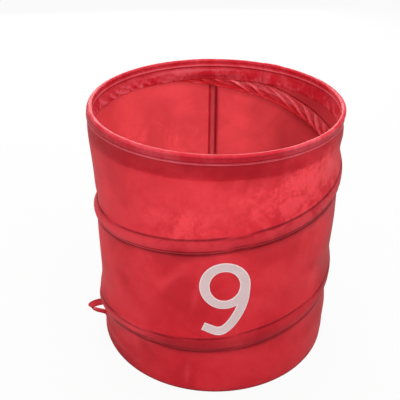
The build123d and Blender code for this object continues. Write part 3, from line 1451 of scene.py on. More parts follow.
@dataclass
class WallPanel(Piece):
    """The tube of cloth, one sheet lapped up the back.

    Attributes:
        lap_start, lap_width: The bearing of the lap's inner end, and how far the cloth laps over itself.
        lap_fade, lap_gap: Degrees over which the outer layer comes down off the lap, and the gap below it.
        lap_top: The height above which the hem hides the lap's seam.
        cloth: The cloth's thickness.
        columns, rows: How many columns of points there are, and rows in each band, from the floor up.
        foot_height, least_band: The height of the lowest band of rows, and the least height of any.
        band_margin: How far a band goes beyond the tape.
    """

    lap_start: float = 89.6
    lap_width: float = 12.0 * MM
    lap_fade: float = 3.0
    lap_gap: float = 0.04 * MM
    lap_top: float = 0.31
    cloth: float = 0.22 * MM
    columns: int = 440
    foot_height: float = 5.0 * MM
    least_band: float = 2.1 * MM
    band_margin: float = 4.0 * MM
    rows: tuple[int, ...] = (4, 12, 14, 16, 13, 16, 13, 5)

    @property
    def lap(self) -> float:
        """The lap's width in degrees."""
        return math.degrees(self.lap_width / self.frame.radius)

    def bearings(self) -> Array:
        """The unwrapped bearing of each column, from the outer end of the lap round to the inner end."""
        return np.linspace(self.lap_start + self.lap, self.lap_start - TURN, self.columns)

    def heights(self, bearing: Array) -> Array:
        """The heights of each column's points, in rows that keep step with the spiral's seams.

        Args:
            bearing: The columns' bearings.

        Returns:
            The heights, as rows by columns.
        """
        low, high = self.frame.floor, self.frame.wall_top
        reach = self.shape.path.band + self.band_margin
        wanted = [np.full(bearing.shape, low + self.foot_height)]
        for turn in (-TURN, 0.0, TURN):
            centre = self.shape.path.height(bearing + turn)
            wanted += [centre - reach, centre + reach]
        knots = [np.full(bearing.shape, low)]
        for line, left in zip(wanted, range(len(wanted), 0, -1)):
            line = np.minimum(line, high - self.least_band * left)
            knots.append(np.maximum(line, knots[-1] + self.least_band))
        knots.append(np.full(bearing.shape, high))
        rows = [
            lower + (upper - lower) * i / count
            for lower, upper, count in zip(knots[:-1], knots[1:], self.rows)
            for i in range(count)
        ]
        return np.array(rows + knots[-1:])

    def build(self) -> Object:
        """Builds the wall's sheet.

        Returns:
            The piece.
        """
        frame, shape = self.frame, self.shape
        bearing = self.bearings()
        height = self.heights(bearing)
        bearing = np.broadcast_to(bearing, height.shape)
        lapped = 1.0 - ramp(0.0, self.lap_fade, self.lap_start - bearing)
        radius = shape.radius(bearing, height) + shape.wrinkles(bearing, height)
        points = around(bearing, radius + lapped * (self.cloth + self.lap_gap), height)
        uv = np.stack([np.radians(bearing[0, 0] - bearing) * frame.radius, height], axis=-1)
        # painted shade: dark lines along the lap's edges, and a faint shade over the lap
        edge = np.minimum(np.abs(bearing - bearing[0, 0]), np.abs(bearing_gap(bearing, self.lap_start)))
        lap_seam_shade = 0.6 * hump(edge - 0.6, 0.35) * (height < self.lap_top)
        past_lap = np.abs(bearing_gap(bearing, self.lap_start + self.lap / 2)) - self.lap / 2
        lap_shade = 0.1 * (1.0 - ramp(0.0, 0.4, past_lap))
        marks = {
            Mark.SEAM: np.maximum(shape.seams(bearing, height), lap_seam_shade),
            Mark.DOUBLE: np.maximum(shape.painted_shade_at(bearing, height), lap_shade),
            Mark.CRINKLE_SHEEN: shape.crinkled(bearing, height),
            Mark.HIGHLIGHT: shape.lit(bearing, height),
            Mark.THIN: 1.0 - ramp(-0.9, -0.3, past_lap),
        }
        marks = {mark: values[:, ::-1] for mark, values in marks.items()}
        piece = self.sew("wall_cloth", points[:, ::-1], uv[:, ::-1], marks, WALL_CLOTH, self.cloth)
        girth = math.tau * frame.radius + self.lap_width
        frame.wall_top - frame.floor
        return self.settle(piece, self.body, "wall_cloth", ["wall_panel"], collapses=True)


@dataclass
class SpiralSpring(Piece):
    """The spring wire, its two end caps, and the gathered tape that holds it to the wall.

    Attributes:
        points_per_turn: How finely the wire is bent.
        cap_length, cap_radius, cap_past: A cap's length and radius, and how far it goes past the wire.
        tape_cloth, tape_depth: The tape's thickness, and how deep it stands inside the wall.
        pleat_pitch, pleat_slant: The distance from pleat to pleat, and how far one slants to a seam.
        pleat_depth, pleat_level, pleat_sag: How deep pleats are, from what level, and how far they hang.
        tape_columns, tape_rows: Points along the whole spiral and across the tape.
        allowance: How far the tape goes past its lower seam, as a share of half its width.
        cut_top, cut_foot: How far under the hem and the floor's tape it is cut off.
        wall_gap: The gap between the tape and the wall.
        wire_gap, tuck_gap: How far inside the wire's line it passes, and the same under the hem.
    """

    points_per_turn: int = 60
    cap_length: float = 10.0 * MM
    cap_radius: float = 1.5 * MM
    cap_past: float = 2.0 * MM
    tape_cloth: float = 0.3 * MM
    tape_depth: float = 4.2 * MM
    pleat_pitch: float = 25.0 * MM
    pleat_slant: float = 21.0 * MM
    pleat_depth: float = 4.2 * MM
    pleat_level: float = 0.35
    pleat_sag: float = 3.4 * MM
    tape_columns: int = 1500
    tape_rows: int = 29
    allowance: float = 0.2
    cut_top: float = 3.5 * MM
    cut_foot: float = 3.0 * MM
    wall_gap: float = 0.06 * MM
    wire_gap: float = 1.6 * MM
    tuck_gap: float = 1.5 * MM

    def wire_tree(self) -> GeometryTree:
        """The rule of the wire: a round bar swept down a leaning spiral.

        Returns:
            The tree.
        """
        tree = GeometryTree("spiral_wire_rule")
        count = tree.input("Points", "Int")
        start, end, radius = tree.input("Start"), tree.input("End"), tree.input("Line radius")
        line = tree.out("GeometryNodeCurvePrimitiveLine", 0, inputs={"End": (0.0, 0.0, 1.0)})
        stops = tree.out("GeometryNodeResampleCurve", 0, inputs={"Curve": line, "Count": count})
        share = tree.out("GeometryNodeInputIndex", 0) / (count - 1.0)
        bearing = start + (end - start) * share
        nodes = Maths(lambda x: tree.math("COSINE", x), lambda x: tree.math("EXPONENT", x))
        turn = bearing * (math.pi / 180.0)
        place = tree.join(
            radius * tree.math("COSINE", turn),
            radius * tree.math("SINE", turn),
            self.shape.path.height(bearing, nodes),
        )
        bent = tree.out("GeometryNodeSetPosition", 0, inputs={"Geometry": stops, "Position": place})
        section = {"Resolution": 10, "Radius": tree.input("Wire radius")}
        ring = tree.out("GeometryNodeCurvePrimitiveCircle", 0, inputs=section)
        sweep = {"Curve": bent, "Profile Curve": ring, "Fill Caps": True}
        tree.close(tree.out("GeometryNodeCurveToMesh", 0, inputs=sweep))
        return tree

    def build_wire(self) -> Object:
        """Builds the spring wire.

        Returns:
            The piece.
        """
        frame, path = self.frame, self.shape.path
        values = {
            "Points": round(self.points_per_turn * path.turns),
            "Start": path.start,
            "End": path.end,
            "Line radius": frame.ring_line,
            "Wire radius": frame.wire_radius,
            "Finish": self.workshop.get(SPRING_STEEL),
        }
        piece = self.wire_tree().build("spring_wire", values)
        return self.settle(piece, self.body, "spring_steel", ["spiral_wire"], collapses=True)

    def build_caps(self) -> Object:
        """Builds the two round-ended caps on the wire's ends.

        Returns:
            The piece.
        """
        path = self.shape.path
        shell = bmesh.new()
        for end, inwards in ((path.start, -0.5), (path.end, 0.5)):
            here, there = (
                Vector(around(np.array(b), np.array(self.frame.ring_line), path.height(np.array(b))))
                for b in (end, end + inwards)
            )
            along = (there - here).normalized()
            middle = here + along * (self.cap_length / 2 - self.cap_past)
            turn = along.to_track_quat("Z", "Y").to_matrix().to_4x4()
            made = bmesh.ops.create_uvsphere(shell, u_segments=12, v_segments=8, radius=self.cap_radius)
            for vertex in made["verts"]:
                vertex.co.z += math.copysign(self.cap_length / 2 - self.cap_radius, vertex.co.z)
                vertex.co = Matrix.Translation(middle) @ turn @ vertex.co
        mesh = bpy.data.meshes.new("wire_caps")
        shell.to_mesh(mesh)
        shell.free()
        mesh.shade_smooth()
        mesh.materials.append(self.workshop.get(CAP_PLASTIC))
        piece = link("wire_caps", mesh)
        return self.settle(piece, self.body, "cap_plastic", ["spiral_caps"], collapses=True)

    def pleats(self, along: Array, across: Array) -> Array:
        """How far the pleats stand up, from 0 to 1.

        Args:
            along: Metres along the tape.
            across: From -1 at its lower seam to 1 at its upper seam.

        Returns:
            The heights. The pleats slant down along the tape, and no two are alike.
        """
        stray = noise_at(along / 0.07, across * 0.4, 5.0)
        place = (along + self.pleat_slant * across) / self.pleat_pitch + 0.7 * stray
        strength = np.clip(0.8 + 0.7 * noise_at(np.round(place) * 1.7, 0.0 * along, 8.0), 0.35, 1.1)
        deep = strength * hump(place - np.round(place), 0.14)
        between = place * 2.0 + 0.6 + 0.25 * across
        return np.maximum(deep, 0.38 * hump(between - np.round(between), 0.2))

    def build_tape(self) -> Object:
        """Builds the gathered tape, with slanting pleats where its fullness is taken up.

        Returns:
            The piece.
        """
        path, shape, frame = self.shape.path, self.shape, self.frame
        bearing, t = np.broadcast_arrays(
            (path.start + (path.end - path.start) * np.linspace(0.0, 1.0, self.tape_columns))[None, :],
            np.linspace(-1.0 - self.allowance, 1.0, self.tape_rows)[:, None],
        )
        along = np.radians(path.start - bearing) * frame.radius
        line, half = path.height(bearing), path.half_width(bearing)
        arch = np.clip(1.0 - t**2, 0.0, 1.0) ** 0.55
        pleat = self.pleats(along, t)
        raised = pleat - self.pleat_level
        height = line + t * half
        sag = self.pleat_sag * raised * ramp(0.9, -0.9, t) * ramp(-1.25, -0.9, t)
        keep_top = frame.hem_bottom + self.cut_top
        kept = np.clip(height - sag, frame.tape_top - self.cut_foot, keep_top)
        wall = np.minimum(shape.radius(bearing, kept), shape.radius(bearing, line + np.sign(t) * half))
        inner = wall - WallPanel.cloth - self.wall_gap
        over_wire = (inner - frame.ring_line + self.wire_gap) * np.clip(1.0 - (2.2 * t) ** 2, 0.0, 1.0)
        depth = (self.tape_depth * (0.55 + 0.45 * arch) + self.pleat_depth * raised) * arch
        depth = np.maximum(depth, over_wire)
        depth = depth + MM * ramp(-1.0, -1.1, t) * (0.3 + 0.7 * pleat)
        room = inner - (frame.ring_line - self.tuck_gap)
        hidden = ramp(frame.hem_bottom - 2.5 * MM, frame.hem_bottom + 0.5 * MM, height)
        depth = depth + (np.minimum(depth, room) - depth) * hidden
        columns = np.nonzero(((line - half)[0] < keep_top) & ((line + half)[0] > frame.tape_top))[0]
        points = around(bearing, inner - depth, kept)[:, columns]
        uv = np.stack([along, t * half], axis=-1)[:, columns]
        # painted shade in the pleats' valleys and along the upper seam; painted highlight on the pleats'
        # crests
        shadow = np.clip(0.3 * hump(t - 0.97, 0.08) + 0.8 * hump(pleat - 0.1, 0.22) * arch, 0, 1)
        marks = {
            Mark.SEAM: shadow[:, columns],
            Mark.CRINKLE_SHEEN: 0.25,
            Mark.HIGHLIGHT: (0.95 * ramp(0.5, 0.85, pleat))[:, columns],
        }
        piece = self.sew("spring_tape", points, uv, marks, TAPE_CLOTH, self.tape_cloth)
        length = math.tau * path.turns * frame.radius
        length * len(columns) / self.tape_columns
        3.0 * path.band
        return self.settle(piece, self.body, "tape_cloth", ["spiral_casing"], collapses=True)


@dataclass
class RimHem(Piece):
    """The strip folded over the rim's ring, with its short leg outside and its long leg inside.

    Attributes:
        lap_bearing, lap_length: Where the strip starts, and how far its end laps over its start.
        outer_depth, inner_stitch: How far below the rim's top the outer edge and the inner seam are.
        cloth: The strip's thickness.
        columns, points: Points along the strip and across it.
        flare: How far the outer leg leans out on one side.
        crown: Half the width of the strip where it turns over the ring.
        outer_leg: The outer leg, in millimetres from its lower edge.
        inner_turn, inner_leg, inner_end: The inner leg, in millimetres from the ring, stitch and edge.
        fold_depth, fold_pitch, fold_slant, fold_power: The slanting folds of the inner leg.
        bunched, looseness, slack: Where those folds are stronger, their unevenness, and the leg's own.
        leg_waves, crown_waves, edge_waves: The waves of the outer leg, the crown and the inner edge.
        crown_tilt, tilt_bearing: How far the crown rises towards one side, and which.
        fold_light, fold_shadow, shade_waves: The painted light and shadow of a back fold, and how they stray.
        glint_rows, shadow_row: Rows painted light along the cut edge, and the row painted in its shadow.
    """

    lap_bearing: float = 57.0
    lap_length: float = 20.0 * MM
    outer_depth: float = 11.2 * MM
    cloth: float = 0.4 * MM
    columns: int = 520
    points: int = 44
    inner_stitch: float = 10.0 * MM
    flare: float = 1.5 * MM
    crown: float = 2.85 * MM
    outer_leg: Steps = (
        (-0.25, -0.15), (0.35, 0.35), (0.3, 1.2), (-0.2, 2.3), (0.0, 3.8), (-0.3, 5.6),
    )
    inner_turn: Steps = ((-1.7, -3.4),)
    inner_leg: Steps = ((-2.5, 2.0), (-2.6, 1.1), (-0.4, 0.0), (-1.1, -1.8), (-1.6, -5.0))
    inner_end: Steps = ((-2.0, 8.0), (-2.2, 4.0), (-2.1, 1.5), (-1.9, 0.0))
    fold_depth: float = 2.4 * MM
    fold_pitch: float = 17.0 * MM
    fold_slant: float = 13.0 * MM
    fold_power: float = 0.9
    bunched: Arc = Arc(158.0, 26.0, 2.0)
    looseness: Grain = Grain(0.9, 1.0, 12, 2.0)
    slack: Grain = Grain(0.6 * MM, 0.03, 24, 31.0)
    leg_waves: Grain = Grain(0.14 * MM, 0.01, 90, 14.0)
    crown_waves: Grain = Grain(0.3 * MM, 1.0, 26, 17.0)
    edge_waves: Grain = Grain(0.9 * MM, 1.0, 34, 19.0)
    crown_tilt: float = 0.5 * MM
    tilt_bearing: float = 110.0
    fold_light: tuple[SoftLine, Arc] = (SoftLine(1.0, 1.8 * MM, 14.5 * MM), Arc(104.0, 24.0, 2.0))
    fold_shadow: tuple[SoftLine, Arc] = (SoftLine(1.0, 3.2 * MM, 23.0 * MM), Arc(92.0, 22.0, 2.0))
    shade_waves: Grain = Grain(1.2 * MM, 1.0, 14, 27.0)
    glint_rows: int = 2
    shadow_row: int = 3
    body: ClassVar[str] = "rim"

    def section(self) -> tuple[Array, Array]:
        """The strip's outer face from its outer edge, over the ring, to its inner edge.

        Returns:
            The points as (radius, height), and for each how far it is down the outer leg, from 0 to 1.
        """
        frame = self.frame
        top, line, ring = frame.rim_top, frame.ring_line, frame.rim_ring
        lead = beside(frame.radius + 0.9 * MM, top - self.outer_depth, self.outer_leg)
        for angle in range(-20, 201, 20):
            turn = math.radians(angle)
            lead.append((line + self.crown * math.cos(turn), ring + (top - ring) * math.sin(turn)))
        lead += beside(line, ring, self.inner_turn)
        lead += beside(line, top - self.inner_stitch, self.inner_leg)
        lead += beside(line, frame.hem_bottom, self.inner_end)
        points = resample(np.array(lead), self.points)
        outside = np.arange(len(points)) < np.argmax(points[:, 1])
        return points, outside * ramp(ring, ring - 3.0 * MM, points[:, 1])

    def clear_wire(self, bearing: Array, radius: Array, height: Array) -> Array:
        """The inner leg's radius, kept inside the top of the spiral wire where that runs under it.

        Args:
            bearing: The points' bearings.
            radius: Their radii.
            height: Their heights.

        Returns:
            The new radii.
        """
        frame, path = self.frame, self.shape.path
        first = path.start - (path.start - bearing) % TURN
        near = hump(height - path.height(first), 3.4 * MM)
        near = near * ramp(-TURN * 0.25, -TURN * 0.2, first - path.start)
        cleared = np.minimum(radius, frame.ring_line - frame.wire_radius - self.cloth - 0.3 * MM)
        return radius + near * (cleared - radius)

    def build(self) -> Object:
        """Builds the hem as one strip whose end laps over its start.

        Returns:
            The piece.
        """
        frame = self.frame
        lap = math.degrees(self.lap_length / frame.radius)
        section, leg = self.section()
        reach = lengths(section)
        bearing, radius, height = np.broadcast_arrays(
            np.linspace(self.lap_bearing, self.lap_bearing + TURN + lap, self.columns)[None, :],
            section[:, :1],
            section[:, 1:],
        )
        row = np.arange(len(section))[:, None]
        outer = leg[:, None]
        inside = row > np.argmax(section[:, 1])
        down = inside * ramp(frame.rim_top - self.inner_stitch, frame.hem_bottom, height)
        crown = hump(height - frame.rim_top, 3.0 * MM)
        u = np.radians(bearing) * frame.radius

        radius = radius - self.flare * facing(bearing) * outer
        phase = u / self.fold_pitch - height / self.fold_slant + 0.9 * noise_at(u / 0.035, height / 0.03, 4.0)
        folds = (1.0 - np.abs(np.sin(np.pi * phase))) ** self.fold_power
        folds = folds * (0.25 + 1.1 * self.bunched.at(bearing))
        loose = np.clip(0.45 + self.looseness.at(bearing, 0.0), 0.05, 1.5)
        radius = radius - down * (self.fold_depth * folds * loose + self.slack.at(bearing, height))
        radius = radius + outer * self.leg_waves.at(bearing, height)
        radius = np.where(inside, self.clear_wire(bearing, radius, height), radius)
        tilt = self.crown_tilt * facing(bearing, self.tilt_bearing)
        height = height + crown * (self.crown_waves.at(bearing, 0.0) + tilt)
        height = height + down * self.edge_waves.at(bearing, 0.0)
        grow = ramp(TURN - 3.0, TURN, bearing - self.lap_bearing) * (self.cloth + 0.08 * MM)
        away = radius - frame.ring_line
        radius = radius + grow * np.sign(away) * np.minimum(1.0, np.abs(away) / (1.5 * MM))
        height = height + grow * crown

        points = around(bearing, radius, height)
        uv = np.stack(np.broadcast_arrays(u - u[0, 0], reach[:, None]), axis=-1)
        stitch = height - frame.rim_top + self.inner_stitch
        # painted shade along the inner seam, and painted light just below it
        stitch_shade = hump(stitch, 0.8 * MM) * inside
        glint = hump(stitch - 1.9 * MM, 1.0 * MM) * inside
        # painted light and painted shadow of one fold at the back
        below = frame.rim_top - height + self.shade_waves.at(bearing, 0.0)
        fold_light, fold_shadow = (line.at(below) * arc.at(bearing) * inside for line, arc in (self.fold_light, self.fold_shadow))
        # painted shade along the inner leg's lower edge and at the strip's ends
        under = inside * ramp(frame.hem_bottom + 1.0 * MM, frame.hem_bottom, height)
        end = hump(np.minimum(bearing - bearing[0, 0], bearing[0, -1] - bearing), 0.25)
        # painted light on the cut edge's rows, painted shadow on the row below
        cut, shadow = row < self.glint_rows, row == self.shadow_row
        seam = 0.5 * stitch_shade + 0.25 * end + 0.15 * under + 0.6 * shadow + 0.55 * fold_shadow
        # painted shade darkens the outer leg except its lit edge; painted highlight also on the inner leg's
        # fold crests
        marks = {
            Mark.SEAM: np.clip(seam, 0, 1),
            Mark.DOUBLE: 0.9 * (outer > 0.3) * ~cut + 0.15 * inside,
            Mark.CRINKLE_SHEEN: 0.15 + 0.35 * down,
            Mark.HIGHLIGHT: np.clip(cut + glint + fold_light + 0.9 * down * ramp(0.35, 0.9, folds), 0, 1),
        }
        piece = self.sew("rim_binding", points, uv, marks, HEM_CLOTH, self.cloth)
        math.tau * frame.radius + self.lap_length
        return self.settle(piece, self.body, "hem_cloth", ["rim_hem"])


@dataclass
class FloorPanel(Piece):
    """The floor's disc of cloth, and the tape that holds its ring in the corner.

    Attributes:
        cloth: The thickness of the disc and of the tape.
        rings, columns: How many rings of points the disc has, and points in each.
        edge_gap, middle: The gap between the disc and the wall, and the radius of its middle face.
        lift, slack, pucker_lift: How far it lifts off the floor, unevenly and in puckers at the edge.
        tape_columns, tape_inset: Points along the tape, and how far inside the wall's outside it lies.
        tape_top, tape_foot: The tape's section, in millimetres from its upper edge and from the floor.
    """

    cloth: float = 0.3 * MM
    rings: int = 34
    columns: int = 240
    edge_gap: float = 0.7 * MM
    middle: float = 0.5 * MM
    lift: float = 0.35 * MM
    slack: Grain = Grain(0.5 * MM, 0.05, 5, 4.0)
    pucker_lift: float = 0.25 * MM
    tape_columns: int = 361
    tape_inset: float = 0.6 * MM
    tape_top: Steps = ((-1.2, 0.0), (-0.9, -2.0), (-2.0, -4.0))
    tape_foot: Steps = ((-4.6, 2.6), (-6.2, 0.9), (-7.8, 0.2))

    def build_disc(self) -> Object:
        """Builds the floor, drawn tight by its ring with short puckers at the edge.

        Returns:
            The piece.
        """
        floor = self.frame.floor
        share = np.linspace(0.0, 1.0, self.rings)[:, None] ** 0.8
        bearing = np.linspace(0.0, TURN, self.columns + 1)[None, :-1]
        edge = self.shape.radius(bearing, floor + 0.3 * MM) - WallPanel.cloth - self.edge_gap
        radius = np.maximum(share * edge, self.middle)
        bearing = np.broadcast_to(bearing, radius.shape)
        puckers = np.sin(np.radians(bearing) * 46 + 2.0 * ring_noise(bearing, 0.0, 20, 2.0))
        lift = self.lift + self.slack.at(bearing, radius) * np.sin(np.pi * share) ** 0.5
        lift = lift + self.pucker_lift * puckers * hump(radius - edge + 12 * MM, 9 * MM)
        height = np.where(share > 0.985, floor, np.maximum(floor + lift, floor))
        mesh = self.disc_mesh(around(bearing, radius, height), {Mark.DOUBLE: 0.1, Mark.CRINKLE_SHEEN: 0.1})
        piece = link("floor_cloth", mesh)
        thicken(piece, self.cloth, self.workshop.get(FLOOR_CLOTH))
        return self.settle(piece, self.body, "floor_cloth", ["base_panel"])

    def disc_mesh(self, points: Array, marks: Marks) -> Mesh:
        """A closed disc of rings with a small cap at its middle.

        Args:
            points: Rings by columns by three, from the middle out.
            marks: Numbers to store on the points.

        Returns:
            The mesh, facing up.
        """
        rings, columns = points.shape[:2]
        at = np.arange(rings * columns).reshape(rings, columns)
        after = np.roll(at, -1, axis=1)
        quads = np.stack([at[:-1], at[1:], after[1:], after[:-1]], axis=-1).reshape(-1, 4).tolist()
        mesh = bpy.data.meshes.new("floor_cloth")
        flat = points.reshape(-1, 3)
        mesh.from_pydata(flat.tolist(), [], quads + [at[0].tolist()])
        layer = mesh.uv_layers.new(name="cloth")
        corners = np.array([vertex for face in mesh.polygons for vertex in face.vertices])
        layer.uv.foreach_set("vector", (flat[corners, :2] + self.frame.radius).astype(np.float32).ravel())
        store_marks(mesh, marks, (rings, columns))
        mesh.shade_smooth()
        return mesh

    def build_tape(self) -> Object:
        """Builds the tape over the floor's ring, gathered by its seams.

        Returns:
            The piece.
        """
        frame = self.frame
        outer = frame.radius - self.tape_inset
        line = beside(outer, frame.tape_top + 1.2 * MM, self.tape_top)
        line += beside(outer, frame.floor + 0.45 * MM, self.tape_foot)
        section = resample(np.array(line), 11)
        bearing, radius, height = np.broadcast_arrays(
            np.linspace(0.0, TURN, self.tape_columns)[None, :], section[:, :1], section[:, 1:]
        )
        follows = ramp(outer - 5.5 * MM, outer - 2.0 * MM, radius)
        radius = radius + follows * (self.shape.radius(bearing, height) - frame.radius)
        middle = np.sin(np.pi * np.linspace(0, 1, len(section)))[:, None]
        wave = np.sin(np.radians(bearing) * 84 + 2.5 * ring_noise(bearing, height / 0.01, 28, 2.0))
        radius = radius - middle * 0.45 * MM * wave
        height = height + middle * 0.35 * MM * wave
        uv = np.stack([np.radians(bearing) * frame.radius, height], axis=-1)
        # painted shade along the tape's edges
        marks = {Mark.SEAM: 0.5 * (1 - middle) ** 4, Mark.DOUBLE: 0.2, Mark.CRINKLE_SHEEN: 0.3}
        piece = self.sew("floor_tape", around(bearing, radius, height), uv, marks, TAPE_CLOTH, self.cloth)
        girth = math.tau * (outer - 4.0 * MM)
        return self.settle(piece, self.body, "tape_cloth", ["base_casing"])


@dataclass
class TieLoop(Piece):
    """The ribbon loop that hangs from the lower seam at the left.

    Attributes:
        bearing: Where it hangs.
        width, cloth: The ribbon's width and thickness.
        gap: The gap between the ribbon and the wall.
        tab, root: Its sewn ends, in millimetres out from the wall and up from the ground.
        bend: The loop itself, in millimetres from the basket's axis and the ground.
        stages, turned: Shares of its length, and its twist there in degrees.
    """

    bearing: float = -169.0
    width: float = 9.0 * MM
    cloth: float = 0.7 * MM
    gap: float = 0.1 * MM
    tab: Steps = ((0.5, 39.8), (0.7, 38.4), (2.5, 37.2))
    bend: Steps = (
        (158.5, 36.6), (163.5, 35.2), (167.2, 33.4), (169.4, 31.4), (169.7, 30.2),
        (168.4, 28.4), (165.0, 26.2), (160.8, 24.0), (156.0, 21.8),
    )
    root: Steps = ((2.5, 20.0), (0.5, 18.0), (0.15, 15.5))
    stages: tuple[float, ...] = (0, 0.05, 0.14, 0.36, 0.5, 0.64, 0.95, 1)
    turned: tuple[float, ...] = (0, 12, 50, 52, 34, 4, 0, 0)

    def build(self) -> Object:
        """Builds the loop as one ribbon, from its tab round to its lower root.

        Returns:
            The piece.
        """
        tab, root = (float(self.shape.radius(self.bearing, height)) + self.gap for height in (0.037, 0.018))
        line = beside(tab, 0.0, self.tab) + beside(0.0, 0.0, self.bend) + beside(root, 0.0, self.root)
        middle = resample(np.array(line), 48)
        twist = np.radians(np.interp(np.linspace(0, 1, len(middle)), self.stages, self.turned))
        twist = np.convolve(np.pad(twist, 3, mode="edge"), np.ones(7) / 7, mode="valid")
        tangent = np.gradient(middle, axis=0)
        tangent /= np.linalg.norm(tangent, axis=1)[:, None]
        across = (np.linspace(-0.5, 0.5, 9) * self.width)[:, None]
        shift = across * np.sin(twist) + 0.35 * MM * (1 - (2 * across / self.width) ** 2)
        turn = math.radians(self.bearing)
        outwards = np.array([math.cos(turn), math.sin(turn), 0.0])
        sideways = np.array([-math.sin(turn), math.cos(turn), 0.0])
        up = np.array([0.0, 0.0, 1.0])
        points = (
            (middle[:, 0] + tangent[:, 1] * shift)[..., None] * outwards
            + (middle[:, 1] - tangent[:, 0] * shift)[..., None] * up
            + (across * np.cos(twist))[..., None] * sideways
        )
        uv = np.stack(np.broadcast_arrays(lengths(middle)[None, :], across + self.width), axis=-1)
        # painted shade along the ribbon's two edges
        edge_shade = 0.5 * hump(np.abs(across) - self.width / 2, 0.7 * MM)
        marks = {Mark.SEAM: edge_shade, Mark.DOUBLE: 0.3, Mark.CRINKLE_SHEEN: 0.1}
        piece = self.sew("loop_ribbon", points[::-1], uv[::-1], marks, RIBBON, self.cloth)
        return self.settle(piece, self.body, "ribbon", ["tie_loop"], collapses=True)


@dataclass
class NumberFilm(Piece):
    """The plain number, a thin film that follows the wall.

    Attributes:
        border, film: The width of its paler edge, and its thickness.
        cell: The most that a face measures across.
        flat_angle: The angle in radians up to which faces are merged first.
    """

    border: float = 1.1 * MM
    cell: float = 2.5 * MM
    film: float = 0.25 * MM
    flat_angle: float = 0.02

    def build(self, node: Object) -> Object:
        """Builds the film from the outline of the CAD number.

        Args:
            node: The CAD node of the number.

        Returns:
            The film.
        """
        shell = bmesh.new()
        shell.from_mesh(node.data)
        bmesh.ops.remove_doubles(shell, verts=shell.verts, dist=0.01 * MM)
        outside = max(math.hypot(v.co.x, v.co.y) for v in shell.verts)
        inner = [v for v in shell.verts if math.hypot(v.co.x, v.co.y) < outside - 0.1 * MM]
        bmesh.ops.delete(shell, geom=inner, context="VERTS")
        for vertex in shell.verts:
            bearing = math.atan2(vertex.co.y, vertex.co.x)
            vertex.co = Vector((bearing * outside, 0.0, vertex.co.z))
        bmesh.ops.dissolve_limit(shell, angle_limit=self.flat_angle, verts=shell.verts, edges=shell.edges)
        made = bmesh.ops.inset_region(
            shell, faces=shell.faces[:], thickness=self.border, use_even_offset=True, use_boundary=True
        )
        border = set(made["faces"])
        for face in shell.faces:
            face.material_index = 1 if face in border else 0
        bmesh.ops.dissolve_limit(
            shell, angle_limit=self.flat_angle, verts=shell.verts, edges=shell.edges, delimit={"MATERIAL"}
        )
        for axis in (0, 2):
            low, high = min(v.co[axis] for v in shell.verts), max(v.co[axis] for v in shell.verts)
            normal = Vector([1.0 if i == axis else 0.0 for i in range(3)])
            for i in range(1, math.ceil((high - low) / self.cell)):
                parts = shell.verts[:] + shell.edges[:] + shell.faces[:]
                place = normal * (low + i * self.cell)
                bmesh.ops.bisect_plane(shell, geom=parts, plane_co=place, plane_no=normal)
        bmesh.ops.triangulate(shell, faces=shell.faces[:])
        bearing = np.degrees(np.array([v.co.x for v in shell.verts]) / outside)
        height = np.array([v.co.z for v in shell.verts])
        radius = self.shape.radius(bearing, height) + self.shape.wrinkles(bearing, height) + self.film
        for vertex, place in zip(shell.verts, around(bearing, radius, height)):
            vertex.co = Vector(place)
        shell.normal_update()
        if sum(f.normal.y * f.calc_area() for f in shell.faces) > 0:
            bmesh.ops.reverse_faces(shell, faces=shell.faces[:])
        mesh = bpy.data.meshes.new("number_film")
        shell.to_mesh(mesh)
        shell.free()
        mesh.shade_smooth()
        piece = link("number_film", mesh)
        thicken(piece, self.film, self.workshop.get(FILM), self.workshop.get(FILM_EDGE))
        return self.settle(piece, self.body, "number_film", ["number_patch"], collapses=True)


class Seam(Enum):
    """The seams that show stitches, each with its stitch length."""

    WALL = 3.4 * MM
    RIM = 3.0 * MM


